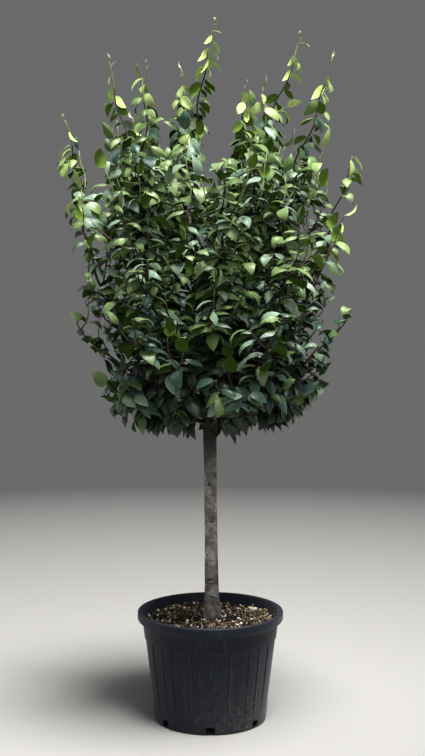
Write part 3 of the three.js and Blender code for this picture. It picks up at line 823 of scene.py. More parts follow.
class Foliage:
    """Leaves, gathered as rows of numbers and turned into meshes together."""

    def __init__(self):
        self.rows = []

    def add(self, **leaf):
        self.rows.append(leaf)

    def column(self, name):
        """One number or vector of every leaf, as rows."""
        return np.array([row[name] for row in self.rows], float).reshape(len(self.rows), -1)

    def build(self, name, materials):
        """One mesh of all the leaves: each a flattened tube that ends in a point, on a stalk."""
        along, side, normal, foot, stalk = map(self.column, ("along", "side", "normal", "foot", "stalk"))
        length, width, bend, fold = map(self.column, ("length", "width", "bend", "fold"))
        wave, curl, phase = map(self.column, ("wave", "curl", "phase"))
        first = along * np.cos(bend / 2) + normal * np.sin(bend / 2)
        lifted = normal * np.cos(bend / 2) - along * np.sin(bend / 2)
        stations = np.array(BLADE_STATIONS)
        # Least half width, which tapers to the point
        least = STALK_HALF * np.where(stations > 0.9, (1 - stations) * 5 + 0.15, 1)
        half = np.maximum(0.5 * width * blade_outline(stations), least)
        angle = bend * stations ** BEND_GROWTH
        middle_angle = (angle[:, 1:] + angle[:, :-1]) / 2
        step = length * np.diff(stations)
        ahead = np.cumsum(np.pad(step * np.cos(middle_angle), ((0, 0), (1, 0))), axis=1)
        down = np.cumsum(np.pad(step * np.sin(middle_angle), ((0, 0), (1, 0))), axis=1)
        base = foot + first * stalk
        spine = base[:, None] + first[:, None] * ahead[..., None] - lifted[:, None] * down[..., None]
        lift = lifted[:, None] * np.cos(angle)[..., None] + first[:, None] * np.sin(angle)[..., None]
        turn = (curl * stations)[..., None]
        across = side[:, None] * np.cos(turn) + lift * np.sin(turn)
        lift = lift * np.cos(turn) - side[:, None] * np.sin(turn)
        # Six corners round a blade: five from edge to edge on its upper side, one under the midrib
        corners = np.array((1, 0.5, 0, -0.5, -1, 0))
        swell = np.array((0, 1, 0, 1, 0, 0))
        facing = np.array((0, 1, 0.6, 1, 0, -1))
        spread = np.abs(corners) * half[..., None]
        ripple = np.sin(3 * math.pi * stations[:, None] + phase[..., None] + 2.2 * np.sign(corners))
        height = (
            spread * (np.sin(fold)[..., None] + wave[..., None] * ripple)
            + 2 * LEAF_BULGE * swell * half[..., None]
            + 0.5 * LEAF_THICKNESS * facing
        )
        reach = corners * half[..., None] * np.cos(fold)[..., None]
        sideways, upward = across[:, :, None] * reach[..., None], lift[:, :, None] * height[..., None]
        blades = spine[:, :, None] + sideways + upward
        root = blades[:, :1] - (first * (stalk + STALK_SUNK))[:, None, None]
        blades = np.concatenate((root, blades), axis=1)
        rings, ring = blades.shape[1:3]
        faces = ring_faces(rings, ring)
        is_top = [j < 4 for _ in range(rings - 1) for j in range(ring)] + [True, True]
        shape = Shape()
        for row, blade in zip(self.rows, blades):
            top, under = SHADES.index(row["shade"]), len(SHADES) + UNDERS.index(row["under"])
            shape.add(blade.reshape(-1, 3), faces, [top if up else under for up in is_top])
        return shape.build(name, materials, sharp=70)


def blade_outline(share):
    """A blade's width at each share of its length, against its widest place."""
    def width(at):
        return at ** OUTLINE_BASE * (1 - at) ** OUTLINE_TIP

    return width(share) / width(OUTLINE_BASE / (OUTLINE_BASE + OUTLINE_TIP))


def pick(choices, number):
    """One of the choices, by a number from 0 to 1."""
    return choices[min(len(choices) - 1, int(number * len(choices)))]


def youth_at(bearer, point, share):
    """How young a leaf is at a place on a shoot."""
    from_tip = bearer.length * (1 - share)
    height, radius = point[2], np.hypot(point[0], point[1])
    rim = radius / np.interp(height, *CROWN.T)
    beside = smooth(*YOUNG_BESIDE, abs(point[0]) / max(1, radius)) * smooth(*YOUNG_BESIDE_HEIGHTS, height)
    edge = smooth(*YOUNG_RIM, rim) * max(smooth(*YOUNG_RIM_HEIGHTS, height), beside)
    high = smooth(*YOUNG_HEIGHTS, height) + YOUNG_EDGE * edge
    reach = YOUNG_LEADER if isinstance(bearer, Leader) else YOUNG_SHOOT
    return float(np.clip(min(high, 1) * (1 - from_tip / reach), 0, 1))


def leaf_shades(youth, height, rim, spray_shade, draw):
    """A leaf's two sides: pale and fresh near the tips of the outer shoots, their undersides painted
    lighter as if lit through; painted shade low in the crown's heart; darker at its foot, partly painted
    shade; or else its spray's own, with some undersides painted lit.
    """
    chance, other, under = draw(), draw(), draw()
    if youth > PALE_FROM:
        return "pale", "downy"
    if youth > FRESH_FROM:
        return "young" if chance < youth + 0.1 else "light", "fresh"
    # Painted shade: the lower leaves in the crown's heart take the darkest top and underside
    if height < HANG_FROM and rim < SHADOW_RIM:
        return "shadow", "dim"
    # Partly painted shade: the crown's foot takes darker shades, which fade out over TEAL_FADE
    if height < HANG_FROM + TEAL_FADE * under:
        return pick(FOOT_SHADES, other), "deep"
    if height > TOP_FROM:
        spray_shade = pick(TOP_SHADES, other)
    shade = pick(ODD_SHADES, other) if chance < ODD_SHARE else spray_shade
    # Painted light: lit undersides near the young tips and, a share that grows with height, at the crown's
    # top
    if youth > LIGHT_FROM:
        return "light" if chance < 0.5 else shade, "lit"
    if under > FELT_FROM:
        return shade, "felt"
    return shade, "lit" if under < LIT_SHARE * smooth(*LIT_HEIGHTS, height) else "deep"


def sparseness(bearer, youth, bud, rim, height):
    """Share of a shoot's leaves that is missing at a place."""
    edge = smooth(*SPARSE_RIM, rim) * smooth(*SPARSE_HEIGHTS, height)
    edge = max(edge, SPARSE_TOP * smooth(*SPARSE_TOP_HEIGHTS, height))
    if isinstance(bearer, Leader):
        return SPARSE_LEADER * edge * (1 - bud)
    return SPARSE * edge * (1 - min(1, YOUNG_KEPT * youth))


def leaf_ways(along, outward, hang, bud, is_tip):
    """Directions that a leaf may take: ahead at a shoot's tip, or else all round the shoot."""
    if is_tip:
        return unit(along + TIP_SPREAD * outward)
    climb = lerp(LEAF_CLIMB * (1 - hang / 2), BUD_CLIMB, bud)
    sink = lerp(LEAF_SINK + LEAF_HANG * hang, 0, bud)
    return unit(along * climb + outward - UP * sink)


def leaf_spray(bearer, start, crown, foliage, middles, draw):
    """Leaves along a shoot: evenly spaced, each turned into the most open space, the last at its tip.

    Gives the place of the last leaf, as a share of the shoot.
    """
    last = 0
    end = max(LEAST_WOOD, 1 - LAST_LEAF / bearer.length)
    count = max(2, round(bearer.length * (1 - start) / LEAF_EVERY))
    spray_shade = pick(SPRAY_SHADES, draw())
    faces_front = draw() < FACING
    for i in range(count):
        is_tip = i == count - 1
        share = end if is_tip else start + (end - start) * (i + JITTER * draw()) / count
        foot, along, side, other = frame_at(bearer.point, share)
        size = 1 + LEAF_SPREAD * (2 * draw() - 1)
        outward = directions_round(side, other, draw() * 2 * math.pi)
        wide, bow, crease, ripple, curl, phase = (draw() for _ in range(6))
        lean, aside, kept, twist, droop = (draw() for _ in range(5))
        height = foot[2]
        rim = math.hypot(foot[0], foot[1]) / np.interp(height, *LEAFY.T)
        youth = youth_at(bearer, foot, share)
        bud = smooth(*BUD_YOUTHS, youth)
        if not is_leafy(foot[None], BARE_HEART)[0] or kept < sparseness(bearer, youth, bud, rim, height):
            continue
        low = min(1, max(0, (HANG_FROM - height) / (HANG_FROM - HANG_TO)))
        size *= lerp(1, YOUNG_SIZE, smooth(*YOUNG_SIZE_YOUTHS, youth)) * lerp(1, BUD_SIZE, bud)
        size *= lerp(1, TOP_SIZE, smooth(*TOP_SIZE_HEIGHTS, height))
        size *= lerp(1, LOW_LENGTH, low)
        high_hang = TOP_HANG * smooth(*TOP_HANG_HEIGHTS, height)
        hang = max(low, YOUNG_HANG * smooth(*YOUNG_HANG_YOUTHS, youth), high_hang) * (1 - bud)
        ways = leaf_ways(along, outward, hang, bud, is_tip)
        from_axis = unit(np.array((foot[0], foot[1], 0.0)))
        tilt = lerp(*LEAF_LEAN, lean) + lerp(*LEAF_LEAN_HANGING, droop) * hang
        roll = LEAF_TWIST * (2 * twist - 1) * lerp(1, LOW_TWIST, low)
        face = UP + from_axis * tilt + np.cross(UP, from_axis) * roll
        length = LEAF_LENGTH * size
        fits = np.full(len(ways), True)
        for reach in (0, 0.5 * length, length + LEAF_STALK):
            fits &= crown.leafy(bent(foot + ways * reach, bearer.leader), proud=LEAF_PROUD)
        sideways = np.array((1.0, 0, 0)) if faces_front else np.cross(UP, from_axis)
        beside = fits & (ways @ sideways * (-1) ** i > LEAF_SIDEWAYS)
        if beside.any() and aside < SIDEWAYS_SHARE:
            fits = beside
        if not fits.any():
            continue
        centres = foot + ways * (LEAF_STALK + 0.5 * length)
        chosen = np.flatnonzero(fits)[middles.most_open(centres[fits])]
        middles.take(centres[chosen])
        way = ways[chosen]
        across = unit(np.cross(face, way))
        width = LEAF_WIDTH * size * lerp(*LEAF_WIDTHS, wide)
        width = width * lerp(1, YOUNG_WIDTH, youth) * lerp(1, LOW_WIDTH, low)
        fold = lerp(*LEAF_FOLD, crease) * lerp(1, HANGING_FOLD, hang)
        shade, under = leaf_shades(youth, height, rim, spray_shade, draw)
        foliage.add(
            foot=swayed(foot, bearer.leader), along=way, side=across, normal=np.cross(way, across),
            length=length, width=width, stalk=LEAF_STALK * size, shade=shade, under=under,
            bend=lerp(*LEAF_BEND, bow) * lerp(1, HANGING_BEND, hang),
            fold=fold + YOUNG_FOLD * min(1, YOUNG_FOLD_GROWTH * youth),
            wave=lerp(*LEAF_WAVE, ripple), curl=LEAF_CURL * (curl - 0.5), phase=phase * 2 * math.pi,
        )
        last = share
    return last


# Materials

def colour_ramp(nodes, stops):
    ramp = nodes.new("ShaderNodeValToRGB")
    elements = ramp.color_ramp.elements
    while len(elements) < len(stops):
        elements.new(0.5)
    for element, (place, colour) in zip(elements, stops):
        element.position = place
        element.color = (*colour, 1)
    return ramp


class Finish:
    """A node material that is built up in layers on one Principled shader."""

    def __init__(self, name, roughness, specular):
        self.material = bpy.data.materials.new(name)
        self.material.use_nodes = True
        self.nodes, self.links = self.material.node_tree.nodes, self.material.node_tree.links
        self.shader = next(node for node in self.nodes if node.type == "BSDF_PRINCIPLED")
        self.shader.inputs["Roughness"].default_value = roughness
        self.shader.inputs["Specular IOR Level"].default_value = specular
        self.place = self.node("TexCoord", {}, "Object")
        self.colour = None

    def node(self, kind, inputs, output, **settings):
        """An output of a new node. Its inputs are other nodes' outputs or plain values."""
        node = self.nodes.new(f"ShaderNode{kind}")
        for name, value in settings.items():
            setattr(node, name, value)
        for name, value in inputs.items():
            if isinstance(value, bpy.types.NodeSocket):
                self.links.new(value, node.inputs[name])
            else:
                node.inputs[name].default_value = value
        return node.outputs[output]

    def noise(self, scale, detail=4, roughness=0.55, stretch=None):
        place = self.place
        if stretch:
            place = self.node("Mapping", {"Vector": place, "Scale": stretch}, "Vector")
        inputs = {"Vector": place, "Scale": scale, "Detail": detail, "Roughness": roughness}
        return self.node("TexNoise", inputs, "Fac")

    def ramp(self, value, stops):
        ramp = colour_ramp(self.nodes, stops)
        self.links.new(value, ramp.inputs["Fac"])
        return ramp.outputs["Color"]

    def mask(self, value, low, high):
        """A value turned into a mask that rises from 0 at low to 1 at high."""
        return self.node("MapRange", {"Value": value, "From Min": low, "From Max": high}, "Result")

    def times(self, a, b):
        return self.node("Math", {0: a, 1: b}, "Value", operation="MULTIPLY")

    def distance(self):
        """Distance from the origin."""
        return self.node("VectorMath", {0: self.place}, "Value", operation="LENGTH")

    def axis(self, name):
        return self.node("SeparateXYZ", {"Vector": self.place}, name)

    def paint(self, colour):
        self.colour = colour
        self.links.new(colour, self.shader.inputs["Base Color"])

    def mottle(self, value, colour, dark, pale):
        """Paints a colour in tones from dark to pale times its own."""
        self.paint(self.ramp(value, [(0.3, scaled(colour, dark)), (0.7, scaled(colour, pale))]))

    def layer(self, mask, colour):
        """Paints a colour over what is there, where the mask says."""
        inputs = {"Factor": mask, "A": self.colour, "B": (*colour, 1)}
        self.paint(self.node("Mix", inputs, "Result", data_type="RGBA"))

    def rough(self, value, low, high):
        roughness = self.node("MapRange", {"Value": value, "To Min": low, "To Max": high}, "Result")
        self.links.new(roughness, self.shader.inputs["Roughness"])

    def bump(self, value, strength, distance):
        inputs = {"Height": value, "Strength": strength, "Distance": distance * MM}
        self.links.new(self.node("Bump", inputs, "Normal"), self.shader.inputs["Normal"])

    def sheen(self, weight, roughness, tint):
        self.shader.inputs["Sheen Weight"].default_value = weight
        self.shader.inputs["Sheen Roughness"].default_value = roughness
        self.shader.inputs["Sheen Tint"].default_value = (*tint, 1)


def scaled(colour, factor):
    return tuple(min(1, part * factor) for part in colour)


def leaf_finish(name, colour, roughness, specular, sheen):
    """A leaf surface: its own base colour, a little mottled, with fine relief."""
    finish = Finish(name, roughness=roughness, specular=specular)
    finish.mottle(finish.noise(70, 5), colour, 0.78, 1.25)
    finish.bump(finish.noise(150, 3), 0.06, 0.4)
    finish.sheen(sheen, 0.5, (0.85, 1.0, 0.8))
    return finish.material


def leaf_materials():
    """The upper sides, satin with a faint sheen, and then the undersides, which are matt."""
    tops = [leaf_finish(f"leaf_{shade}", LEAF_TOPS[shade], 0.44, 0.44, 0.08) for shade in SHADES]
    return tops + [leaf_finish(f"underside_{under}", LEAF_UNDERS[under], 0.8, 0.1, 0) for under in UNDERS]


def bark_material():
    finish = Finish("bark", roughness=0.85, specular=0.25)
    mottled = finish.noise(26, 6, 0.6)
    finish.paint(finish.ramp(mottled, [
        (0.35, (0.058, 0.049, 0.043)), (0.5, (0.180, 0.162, 0.149)), (0.65, (0.41, 0.378, 0.352)),
    ]))
    rings = finish.noise(34, 4, 0.6, stretch=(1.6, 1.6, 11))
    finish.layer(finish.mask(rings, 0.57, 0.69), (0.040, 0.033, 0.029))
    pale_rings = finish.noise(31, 3, 0.5, stretch=(1.2, 1.2, 9))
    finish.layer(finish.mask(pale_rings, 0.62, 0.72), (0.36, 0.34, 0.32))
    # Painted shade: the trunk is darkened towards its head, where the crown shades it
    shade = finish.mask(finish.axis("Z"), 0.82, 1.03)
    finish.layer(finish.times(shade, finish.mask(mottled, -0.1, 0.5)), (0.022, 0.018, 0.014))
    finish.bump(finish.noise(160, 5, 0.6, stretch=(1, 1, 2.5)), 0.6, 1.0)
    return finish.material


def twig_material(name, colour):
    finish = Finish(name, roughness=0.7, specular=0.3)
    finish.mottle(finish.noise(90, 4), colour, 0.7, 1.4)
    finish.bump(finish.noise(500, 3), 0.4, 0.3)
    return finish.material


def pot_material(name, dark, pale):
    """Black-blue plastic between two tones, with dust near the foot, specks and streaks."""
    finish = Finish(name, roughness=0.5, specular=0.18)
    finish.paint(finish.ramp(finish.noise(14, 5), [(0.3, dark), (0.7, pale)]))
    dust = finish.noise(75, 8, 0.75)
    low = finish.times(finish.mask(finish.axis("Z"), 0.2, 0.0), finish.mask(finish.axis("X"), -0.12, 0.14))
    finish.layer(finish.times(low, finish.mask(dust, 0.42, 0.7)), (0.075, 0.068, 0.055))
    specks = finish.noise(330, 2, 0.5)
    finish.layer(finish.mask(specks, 0.715, 0.75), (0.20, 0.20, 0.20))
    streaks = finish.noise(60, 4, 0.6, stretch=(1, 1, 0.12))
    finish.layer(finish.mask(streaks, 0.55, 1.3), (0.05, 0.055, 0.062))
    finish.rough(dust, 0.42, 0.66)
    finish.bump(finish.noise(700, 2), 0.12, 0.25)
    finish.sheen(0.09, 0.45, (0.75, 0.80, 0.90))
    return finish.material


def soil_material():
    finish = Finish("compost", roughness=0.95, specular=0.15)
    finish.paint(finish.ramp(finish.noise(120, 8, 0.7), [
        (0.40, (0.004, 0.003, 0.002)), (0.52, (0.056, 0.037, 0.024)), (0.64, (0.44, 0.34, 0.235)),
    ]))
    finish.bump(finish.noise(260, 6, 0.7), 0.9, 2.0)
    return finish.material


def speck_material(name, colour):
    finish = Finish(name, roughness=0.9, specular=0.2)
    finish.mottle(finish.noise(200, 4), colour, 0.6, 1.25)
    finish.bump(finish.noise(600, 3), 0.5, 0.5)
    return finish.material


# Pot

def wall_radius(height):
    return lerp(POT_HEEL_RADIUS, POT_SHOULDER_RADIUS,
                (height - POT_HEEL_HEIGHT) / (POT_HEIGHT - RIM_HEIGHT - POT_HEEL_HEIGHT))


def arc(radius, height, size, start, end, steps):
    """Profile points round a corner, from one angle to another in degrees."""
    turns = np.radians(np.linspace(start, end, steps))
    return [(radius + size * math.cos(turn), height + size * math.sin(turn)) for turn in turns]


def panel_depth(angle):
    """How far the wall is set in at each angle in degrees: pilasters stay out, ribs stand up."""
    half = PANEL_TURN / 2
    from_middle = np.abs((angle + half) % PANEL_TURN - half)
    deeper = 1 - smooth(PANEL_MIDDLE - EDGE_SOFTNESS, PANEL_MIDDLE + EDGE_SOFTNESS, from_middle)
    depth = PANEL_DEPTH + PANEL_STEP * deeper
    for rib in RIBS:
        depth = depth - RIB_HEIGHT * (1 - smooth(0, RIB_HALF, np.abs(from_middle - rib)))
    for pilaster in PILASTERS:
        edge = np.abs((angle - pilaster + 180) % 360 - 180)
        depth = depth * smooth(PILASTER_HALF - EDGE_SOFTNESS, PILASTER_HALF + EDGE_SOFTNESS, edge)
    return depth


def pot_profile():
    """Radius and height of the wall's points, up its outside and down its inside."""
    under_rim = POT_HEIGHT - RIM_HEIGHT
    run_out = PANEL_FOOT + PANEL_RUNOUT
    ring = POT_FOOT_RADIUS - FOOT_RING
    outside = (
        22, PANEL_FOOT - FILLET, *np.linspace(PANEL_FOOT, run_out, 8), *np.linspace(run_out + 20, 280, 10),
        *np.linspace(PANEL_TOP - FILLET, PANEL_TOP + 0.5, 6), PANEL_TOP + 3, 325, 345, under_rim - 4,
    )
    inside = (340, 300, 200, 100, 30, POT_FLOOR + 2)
    rows = [(AXIS, FOOT_RAISED), (ring - 4, FOOT_RAISED), (ring, 0), (POT_FOOT_RADIUS, 0)]
    rows += arc(wall_radius(HEEL_ROUND) - HEEL_ROUND, HEEL_ROUND, HEEL_ROUND, -60, 0, 6)
    rows += [(wall_radius(height), height) for height in outside]
    rows += [(POT_SHOULDER_RADIUS + 1.5, under_rim - 0.5), (RIM_RADIUS - 12, under_rim)]
    rows += arc(RIM_RADIUS - RIM_UNDER_ROUND, under_rim + RIM_UNDER_ROUND, RIM_UNDER_ROUND, -80, 0, 7)
    rows += [(RIM_RADIUS + 0.3, under_rim + 16), (RIM_RADIUS, POT_HEIGHT - 12)]
    rows += arc(RIM_RADIUS - RIM_TOP_ROUND, POT_HEIGHT - RIM_TOP_ROUND, RIM_TOP_ROUND, 8, 90, 7)
    rows += [(RIM_INNER_RADIUS + 4, POT_HEIGHT - 1)]
    rows += arc(RIM_INNER_RADIUS + RIM_INNER_ROUND, POT_HEIGHT - 4, RIM_INNER_ROUND, 95, 178, 4)
    rows += [(RIM_INNER_RADIUS - 2, POT_HEIGHT - 14), (wall_radius(under_rim) - WALL, under_rim)]
    rows += [(wall_radius(height) - WALL, height) for height in inside]
    rows += [(wall_radius(POT_FLOOR) - WALL - 4, POT_FLOOR), (AXIS, POT_FLOOR)]
    return np.array(rows)


def pot_slots(mesh):
    """Each face's slot: 1 on the lip, rubbed and with a painted highlight, 2 inside, painted lighter as if
    lit, 3 painted shade in the grooves by the panels, 4 painted highlight on the ribs' crests.
    """
    centres = vectors(mesh.polygons, "center") / MM
    normals = vectors(mesh.polygons, "normal")
    x, y, z = centres.T
    angle = np.degrees(np.arctan2(x, -y))
    depth = panel_depth(angle)
    left, right = panel_depth(angle - GROOVE_HALF), panel_depth(angle + GROOVE_HALF)
    on_panel = (z > PANEL_FOOT + PANEL_RUNOUT / 2) & (z < PANEL_TOP)
    # Painted shade: the grooves beside the panels' edges and the ledge under their top
    shaded_groove = on_panel & (np.abs(right - left) > GROOVE_STEP)
    shaded_groove |= (np.abs(z - PANEL_TOP + 1) < FILLET) & (depth > PANEL_DEPTH / 2)
    # Painted highlight: the ribs' crests
    crest_highlight = on_panel & ((left + right) / 2 - depth > GROOVE_STEP)
    inside = (normals[:, :2] * centres[:, :2]).sum(axis=1) < 0
    slots = np.where(crest_highlight, 4, np.where(shaded_groove, 3, 0))
    # Painted light on the inside wall
    slots[inside] = 2
    # The rubbed lip, with a painted highlight
    slots[z > POT_HEIGHT - LIP] = 1
    return slots


def cut_slots(pot):
    """Cuts the drainage slots into the pot's foot."""
    cutter = bmesh.new()
    for i in range(SLOTS):
        size = Matrix.Diagonal((SLOT_WIDTH * MM, 4 * WALL * MM, (SLOT_TOP - SLOT_FOOT) * MM, 1))
        place = Matrix.Translation((0, -POT_HEEL_RADIUS * MM, (SLOT_TOP + SLOT_FOOT) / 2 * MM))
        turn = Matrix.Rotation(i * 2 * math.pi / SLOTS, 4, "Z")
        bmesh.ops.create_cube(cutter, matrix=turn @ place @ size)
    mesh = bpy.data.meshes.new("slots")
    cutter.to_mesh(mesh)
    cutter.free()
    slots = bpy.data.objects.new("slots", mesh)
    bpy.context.scene.collection.objects.link(slots)
    cut = pot.modifiers.new("slots", "BOOLEAN")
    cut.operation, cut.solver, cut.object = "DIFFERENCE", "MANIFOLD", slots
    apply_modifiers(pot)
    bpy.data.objects.remove(slots)


def make_pot():
    profile = pot_profile()
    angles = np.arange(POT_SEGMENTS) * 360 / POT_SEGMENTS
    radius, height = profile[:, 0][:, None], profile[:, 1][:, None]
    on_panel = smooth(PANEL_FOOT, PANEL_FOOT + PANEL_RUNOUT, height) * (
        1 - smooth(PANEL_TOP - FILLET, PANEL_TOP, height))
    outside = radius > wall_radius(height) - 1
    depth = np.where(outside, on_panel, 0) * panel_depth(angles)[None]
    turn = np.radians(angles)[None]
    around = radius - depth
    vertices = np.stack((around * np.sin(turn), -around * np.cos(turn), height + 0 * turn), axis=-1)
    shape = Shape()
    shape.add(vertices.reshape(-1, 3), ring_faces(len(profile), POT_SEGMENTS))
    pot = shape.build("pot_shell", [pot_material(*surface) for surface in POT_SURFACES])
    cut_slots(pot)
    pot.data.shade_smooth()
    pot.data.set_sharp_from_angle(angle=math.radians(40))
    pot.data.polygons.foreach_set("material_index", pot_slots(pot.data))
    finish_piece(pot, "pot", "pot")


# Compost

def soil_height(x, y):
    radius = np.hypot(x, y)
    fall = np.clip((radius - SOIL_SEAT) / SOIL_SLOPE, 0, 1)
    lumps = np.sin(x / 31 + 1) * np.cos(y / 27) + 0.6 * np.sin(x / 14 - y / 17)
    fade = smooth(SOIL_SEAT, SOIL_SEAT + 40, radius)
    return lerp(SOIL_CROWN, SOIL_EDGE, fall) + SOIL_RELIEF * lumps * fade


def bumps(x, y, width, pattern):
    """A smooth random height from -1 to 1, in bumps of this width."""
    return noise.noise(Vector((x / width, y / width, pattern)))


def clod_height(x, y):
    """The compost's surface: the slow lumps, clods of two sizes, fine crumbs and two hollows."""
    height = float(soil_height(np.array(x), np.array(y)))
    trunk = math.hypot(x - TRUNK_FOOT[0], y)
    rough = min(1, max(CLODS_LEAST, (trunk - CLODS_FROM) / CLODS_RISE))
    height += CLOD_HEIGHT * rough * bumps(x, y, CLOD_WIDTH, 1.7)
    height += SMALL_CLOD_HEIGHT * rough * abs(bumps(x, y, SMALL_CLOD_WIDTH, 7.2))
    height += CRUMB_HEIGHT * bumps(x, y, CRUMB_WIDTH, 3.1)
    for hollow_x, hollow_y, radius, depth in HOLLOWS:
        height -= depth * float(smooth(radius, 0, math.hypot(x - hollow_x, y - hollow_y)))
    return height


def in_hollow(x, y):
    return any(math.hypot(x - middle_x, y - middle_y) < HOLLOW_DARK * radius
               for middle_x, middle_y, radius, _ in HOLLOWS)


def blob(size, stretch, dice):
    """A crooked little lump: an icosahedron with its corners pushed in and out."""
    golden = (1 + math.sqrt(5)) / 2
    corners = []
    for a in (-1, 1):
        for b in (-golden, golden):
            corners += [(0, a, b), (a, b, 0), (b, 0, a)]
    corners = unit(np.array(corners, float))
    gaps = np.linalg.norm(corners[:, None] - corners[None], axis=-1)
    edge = np.min(gaps[gaps > 0.01]) * 1.01
    faces = []
    for i, j, k in itertools.combinations(range(12), 3):
        if max(gaps[i, j], gaps[j, k], gaps[i, k]) < edge:
            out = np.dot(np.cross(corners[j] - corners[i], corners[k] - corners[i]), corners[i])
            faces.append((i, j, k) if out > 0 else (i, k, j))
    pushed = dice.uniform(0.7, 1.25, (12, 1)) * corners * np.array(stretch) * size / 2
    tilt, spin = dice.uniform(0, 2 * math.pi, 2)
    leaning = Vector((0.6 * math.cos(tilt), 0.6 * math.sin(tilt), 1))
    turn = np.array(Vector(UP).rotation_difference(leaning).to_matrix() @ Matrix.Rotation(spin, 3, "Z"))
    return pushed @ turn.T, faces


def make_soil():
    """The body of compost: its surface in rings, then its hidden side and underside."""
    inside = wall_radius(SOIL_EDGE) - WALL - 0.6
    rings = int(inside / SOIL_GRID)
    turns = [2 * math.pi * j / SOIL_SIDES for j in range(SOIL_SIDES)]
    vertices = []
    for i in range(rings + 1):
        radius = inside * max(i, 0.02) / rings
        for turn in turns:
            x, y = radius * math.cos(turn), radius * math.sin(turn)
            vertices.append((x, y, clod_height(x, y)))
    foot = POT_FLOOR + 0.3
    below = ((inside - 1.5, 330), (wall_radius(70) - WALL - 2, 70), (150, foot), (0.02, foot))
    for radius, height in below:
        vertices += [(radius * math.cos(turn), radius * math.sin(turn), height) for turn in turns]
    faces = [face[::-1] for face in ring_faces(rings + 1 + len(below), SOIL_SIDES)]
    surface = Shape()
    surface.add(vertices, faces, [int(in_hollow(*vertices[face[0]][:2])) for face in faces])
    dark = speck_material("compost_dark", HOLLOW_COLOUR)
    finish_piece(surface.build("compost", [soil_material(), dark]), "soil", "soil")


def scatter(name, count, size, stretch, colours, dice, bare_from=0):
    """Small lumps strewn over the compost, but none from this size up in its hollows."""
    inside = wall_radius(SOIL_EDGE) - WALL - STREWN_MARGIN
    shape = Shape()
    for _ in range(count):
        radius = inside * math.sqrt(dice.uniform(0.03, 1))
        turn = dice.uniform(0, 2 * math.pi)
        x, y = radius * math.cos(turn), radius * math.sin(turn)
        across = dice.uniform(*size)
        vertices, faces = blob(across, dice.uniform(*stretch), dice)
        centre = np.array((x, y, clod_height(x, y) + across * STREWN_PROUD * dice.uniform(-0.2, 1)))
        colour = int(dice.integers(len(colours)))
        if not in_hollow(x, y) or across < bare_from:
            shape.add(vertices + centre, faces, 0 if in_hollow(x, y) else colour)
    finish_piece(shape.build(name, colours), "soil")


def lay_lumps(colour, dice):
    """The few large lumps of perlite, each made of three blobs."""
    shape = Shape()
    for x, y, size in LUMPS:
        for _ in range(3):
            vertices, faces = blob(size, (1, 0.8, 0.6), dice)
            near_x, near_y = x + size * dice.uniform(-0.35, 0.35), y + size * dice.uniform(-0.35, 0.35)
            shape.add(vertices + (near_x, near_y, clod_height(x, y) + 0.35 * size), faces)
    finish_piece(shape.build("lumps", [colour]), "soil")


def strew_fibres(colours, dice):
    """Thin curved fibres of straw that lie on the compost, their middles a little raised."""
    inside = wall_radius(SOIL_EDGE) - WALL - FIBRE_MARGIN
    shape = Shape()
    for _ in range(FIBRES):
        radius = inside * math.sqrt(dice.uniform(0.05, 1))
        turn, heading, arch = dice.uniform(0, 2 * math.pi, 3)
        length, thick = dice.uniform(*FIBRE_LENGTH), dice.uniform(*FIBRE_RADIUS)
        points = []
        for step in np.linspace(-1, 1, 7):
            way = heading + 0.9 * math.sin(arch) * step
            x = radius * math.cos(turn) + 0.5 * length * step * math.cos(way)
            y = radius * math.sin(turn) + 0.5 * length * step * math.sin(way)
            rise = 5 * (1 - step * step) * (0.5 + 0.5 * math.cos(arch))
            points.append((x, y, clod_height(x, y) + 2 + rise))
        vertices, faces = tube(points, [thick * 0.6] + [thick] * 5 + [thick * 0.5], 5)
        shape.add(vertices, faces, int(dice.integers(len(colours))))
    finish_piece(shape.build("fibres", colours), "soil")


def make_compost():
    """The compost and all that lies on it."""
    make_soil()
    dice = np.random.default_rng(LOOKS_SEED)
    earth, white, straw = (
        [speck_material(name, colours[name]) for name in colours] for colours in (EARTH, WHITE, STRAW))
    scatter("crumbs", CRUMBS, (4, 15), ((0.7, 0.7, 0.6), (1.1, 1.1, 0.9)), earth, dice, bare_from=9)
    scatter("perlite", PERLITE, (4, 11.5), ((0.5, 0.7, 0.6), (1.1, 1.2, 1.1)), white, dice, bare_from=7)
    lay_lumps(white[1], dice)
    scatter("chips", CHIPS, (7, 18), ((0.25, 0.9, 0.15), (0.45, 1.1, 0.3)), straw, dice)
    strew_fibres([speck_material("fibre_pale", FIBRE_PALE), straw[0]], dice)


# Trunk and boughs

def trunk_tube(steps=200, sides=72):
    shares = np.linspace(0, 1, steps)
    turns = np.arange(sides) * 2 * math.pi / sides
    table = np.array(TRUNK_GIRTH)
    girth = np.interp(shares, table[:, 0], table[:, 1])[:, None]
    flare = FLARE_DEPTH * np.maximum(0, 1 - shares / FLARE_END)[:, None]
    radius = girth * (1 + flare * np.cos(FLARE_LOBES * turns)[None])
    centre = np.array([trunk_point(share) for share in shares])
    vertices = np.stack((
        centre[:, :1] + radius * np.cos(turns)[None],
        centre[:, 1:2] + radius * np.sin(turns)[None],
        centre[:, 2:] + 0 * radius,
    ), axis=-1)
    return vertices.reshape(-1, 3), ring_faces(steps, sides)


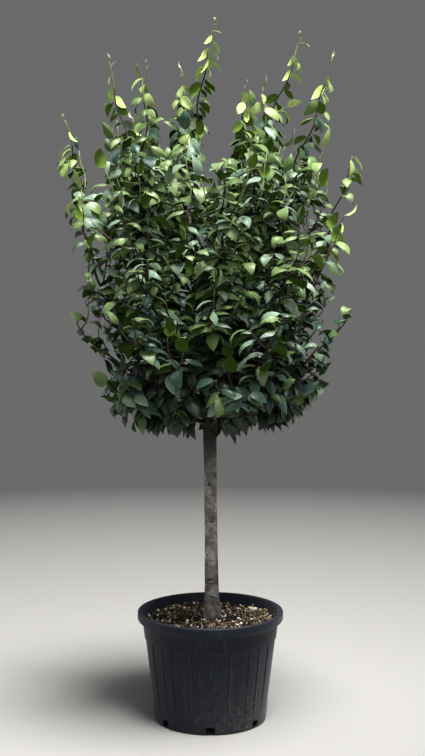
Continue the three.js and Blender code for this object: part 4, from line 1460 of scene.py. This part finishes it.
def knot_relief(x, y, z):
    """Height of the swollen scars of cut shoots, each with a puckered slit, at a point."""
    turn = math.atan2(y, x)
    relief = 0
    for height, azimuth, strength in KNOTS:
        apart = (turn - math.radians(azimuth) + math.pi) % (2 * math.pi) - math.pi
        across, up = apart * KNOT_GIRTH, z - height
        if abs(across) < KNOT_HALF and abs(up) < KNOT_RISE:
            crooked = 7 * noise.noise(Vector((across / 9, up / 9, height)))
            wrinkle = up + 2 * math.cos(across / 9) + crooked
            relief += strength * KNOT_SWELL * math.exp(-(across / 17) ** 2 - ((wrinkle + 3) / 9) ** 2)
            relief -= strength * KNOT_SLIT * math.exp(-((across - crooked) / 9) ** 2 - (wrinkle / 3.8) ** 2)
    return relief


def bark_relief(x, y, z):
    """Height of the bark at a point: shallow plates, rings of lenticels and the knots."""
    turn = math.atan2(y, x)
    relief = 1.1 * noise.fractal(Vector((x / 16, y / 16, z / 30)), 0.8, 2, 4)
    relief += 0.5 * noise.noise(Vector((math.cos(turn) * 5, math.sin(turn) * 5, z / 3.2)))
    return relief + knot_relief(x, y, z)


def make_limbs(leaders):
    """Trunk and boughs as one skin: grown together by a remesh, then given the bark's relief."""
    shape = Shape()
    shape.add(*trunk_tube())
    for leader in leaders:
        shares = np.linspace(0, leader.bough_end * 1.02, 16)
        points = swayed([leader.point(share) for share in shares], leader.name)
        shape.add(*tube(points, [leader.wood_radius(share) for share in shares], 20))
    limbs = shape.build("limbs", [])
    remesh = limbs.modifiers.new("skin", "REMESH")
    remesh.mode, remesh.voxel_size = "VOXEL", BARK_GRAIN * MM
    smoother = limbs.modifiers.new("smooth", "SMOOTH")
    smoother.factor, smoother.iterations = 0.5, 4
    apply_modifiers(limbs)
    mesh = limbs.data
    places = vectors(mesh.vertices, "co")
    normals = vectors(mesh.vertices, "normal")
    relief = np.array([bark_relief(*(place / MM)) for place in places])
    level = smooth(TRUNK_FOOT[2], TRUNK_FOOT[2] + 4, places[:, 2] / MM)
    places += normals * (relief * level * MM)[:, None]
    mesh.vertices.foreach_set("co", places.ravel())
    mesh.materials.append(bark_material())
    mesh.materials.append(twig_material("knot_dark", (0.030, 0.024, 0.020)))
    mesh.materials.append(twig_material("knot_pale", (0.25, 0.23, 0.215)))
    for face in mesh.polygons:
        relief = knot_relief(*(face.center / MM))
        face.material_index = 1 if relief < KNOT_DARK else 2 if relief > KNOT_PALE else 0
    mesh.shade_smooth()
    mesh.update()
    finish_piece(limbs, "bark", "trunk", *[f"bough_{leader.name}" for leader in leaders])


# Crown

def wood_slot(from_tip, height):
    """The slot of a shoot's skin: dark, then brown, and green at the tips of the upper shoots."""
    if from_tip < GREEN_WOOD and height > GREEN_ABOVE:
        return 2
    return 1 if from_tip < BROWN_WOOD else 0


def stem(shape, bearer, start, end, sides):
    """The wood of a leader or shoot, as a tube that turns from bark to green towards its tip."""
    steps = max(3, round(bearer.length * (end - start) / STEM_STEP))
    shares = np.linspace(start, end, steps + 1)
    vertices, faces = tube(
        swayed([bearer.point(share) for share in shares], bearer.leader),
        [bearer.wood_radius(share) for share in shares], sides)
    middles = (shares[1:] + shares[:-1]) / 2
    by_ring = [wood_slot(bearer.length * (1 - share), bearer.point(share)[2]) for share in middles]
    slots = [slot for slot in by_ring for _ in range(sides)]
    shape.add(vertices, faces, slots + [by_ring[0], by_ring[-1]])


def make_crown(leaders):
    """Side shoots by the source's own draws, then twigs and leaves, joined by groups of leaders."""
    crown = Crown(leaders)
    tips = Places()
    draw = random_stream(SEED)
    shoots = [branches(leader, leader, SIDE_SHOOTS, crown, tips, draw) for leader in leaders]
    draw = random_stream(LOOKS_SEED)
    middles, stems = Places(), Places()
    for bearer in [*leaders, *itertools.chain(*shoots)]:
        stems.take_along(bearer)
    sprays = []
    for leader, side_shoots in zip(leaders, shoots):
        group = leader.group
        start = leader.bough_end * BOUGH_OVERLAP
        twigs = branches(leader, leader, LEADER_TWIGS, crown, stems, draw)
        sprays.append((group, leader, BARE_LEADER, start, LEADER_SIDES, side_shoots + twigs))
        for shoot in side_shoots:
            grown = branches(shoot, leader, SHOOT_TWIGS, crown, stems, draw)
            sprays.append((group, shoot, BARE_SHOOT, 0, SHOOT_SIDES, grown))
            twigs += grown
        sprays += [(group, twig, BARE_TWIG, 0, TWIG_SIDES, []) for twig in twigs]
    foliage = {group: Foliage() for group in GROUPS}
    wood = {group: Shape() for group in GROUPS}
    for group, bearer, bare, start, sides, borne in sprays:
        last = leaf_spray(bearer, bare, crown, foliage[group], middles, draw)
        end = max([last] + [shoot.springs_at for shoot in borne])
        if end > start:
            stem(wood[group], bearer, start, end, sides)
    barks = [twig_material(name, colour) for name, colour in TWIG_COLOURS.items()]
    leaf_sides = leaf_materials()
    for group in GROUPS:
        nodes = [f"foliage_{leader.name}" for leader in leaders if leader.group == group]
        finish_piece(wood[group].build(f"twigs_{group}", barks), "bark", *nodes)
        finish_piece(foliage[group].build(f"leaves_{group}", leaf_sides), "leaf", *nodes)


# Stage

def make_camera():
    data = bpy.data.cameras.new("camera")
    data.sensor_width, data.lens = SENSOR, LENS
    data.clip_end = CAMERA_SIGHT
    camera = bpy.data.objects.new("camera", data)
    camera.location = (CAMERA_SIDE * MM, -CAMERA_DISTANCE * MM, CAMERA_HEIGHT * MM)
    camera.rotation_euler = (math.radians(90 - CAMERA_PITCH), 0, 0)
    bpy.context.scene.collection.objects.link(camera)
    bpy.context.scene.camera = camera


def sun_light(name, place, energy, softness, colour):
    """A soft light from far away, in the direction of a place."""
    data = bpy.data.lights.new(name, "SUN")
    data.energy, data.angle, data.color = energy, math.radians(softness), colour
    light = bpy.data.objects.new(name, data)
    light.rotation_euler = Vector(place).to_track_quat("Z", "Y").to_euler()
    bpy.context.scene.collection.objects.link(light)


def make_floor():
    finish = Finish("floor", roughness=1, specular=0)
    spread = finish.mask(finish.distance(), *FLOOR_TURNS)
    finish.paint(finish.ramp(spread, [(0, FLOOR_PALE), (1, FLOOR_GREY)]))
    shape = Shape()
    shape.add(np.array([(-1, -1, 0), (1, -1, 0), (1, 1, 0), (-1, 1, 0)]) * FLOOR_REACH, [(0, 1, 2, 3)])
    shape.build("floor", [finish.material])


def make_light():
    """A dome that is a little lighter near the ground, and the soft lights."""
    world = bpy.data.worlds.new("world")
    world.use_nodes = True
    nodes, links = world.node_tree.nodes, world.node_tree.links
    direction = nodes.new("ShaderNodeSeparateXYZ")
    links.new(nodes.new("ShaderNodeTexCoord").outputs["Generated"], direction.inputs["Vector"])
    dome = colour_ramp(nodes, [(0, DOME_LOW), (DOME_TURNS[0], DOME_LOW), (DOME_TURNS[1], DOME_HIGH)])
    links.new(direction.outputs["Z"], dome.inputs["Fac"])
    links.new(dome.outputs["Color"], nodes["Background"].inputs["Color"])
    bpy.context.scene.world = world
    for light in LIGHTS:
        sun_light(*light)


make_camera()
make_floor()
make_light()
make_pot()
make_compost()
leaders = all_leaders()
make_limbs(leaders)
make_crown(leaders)
bpy.context.scene.view_settings.view_transform = "Standard"
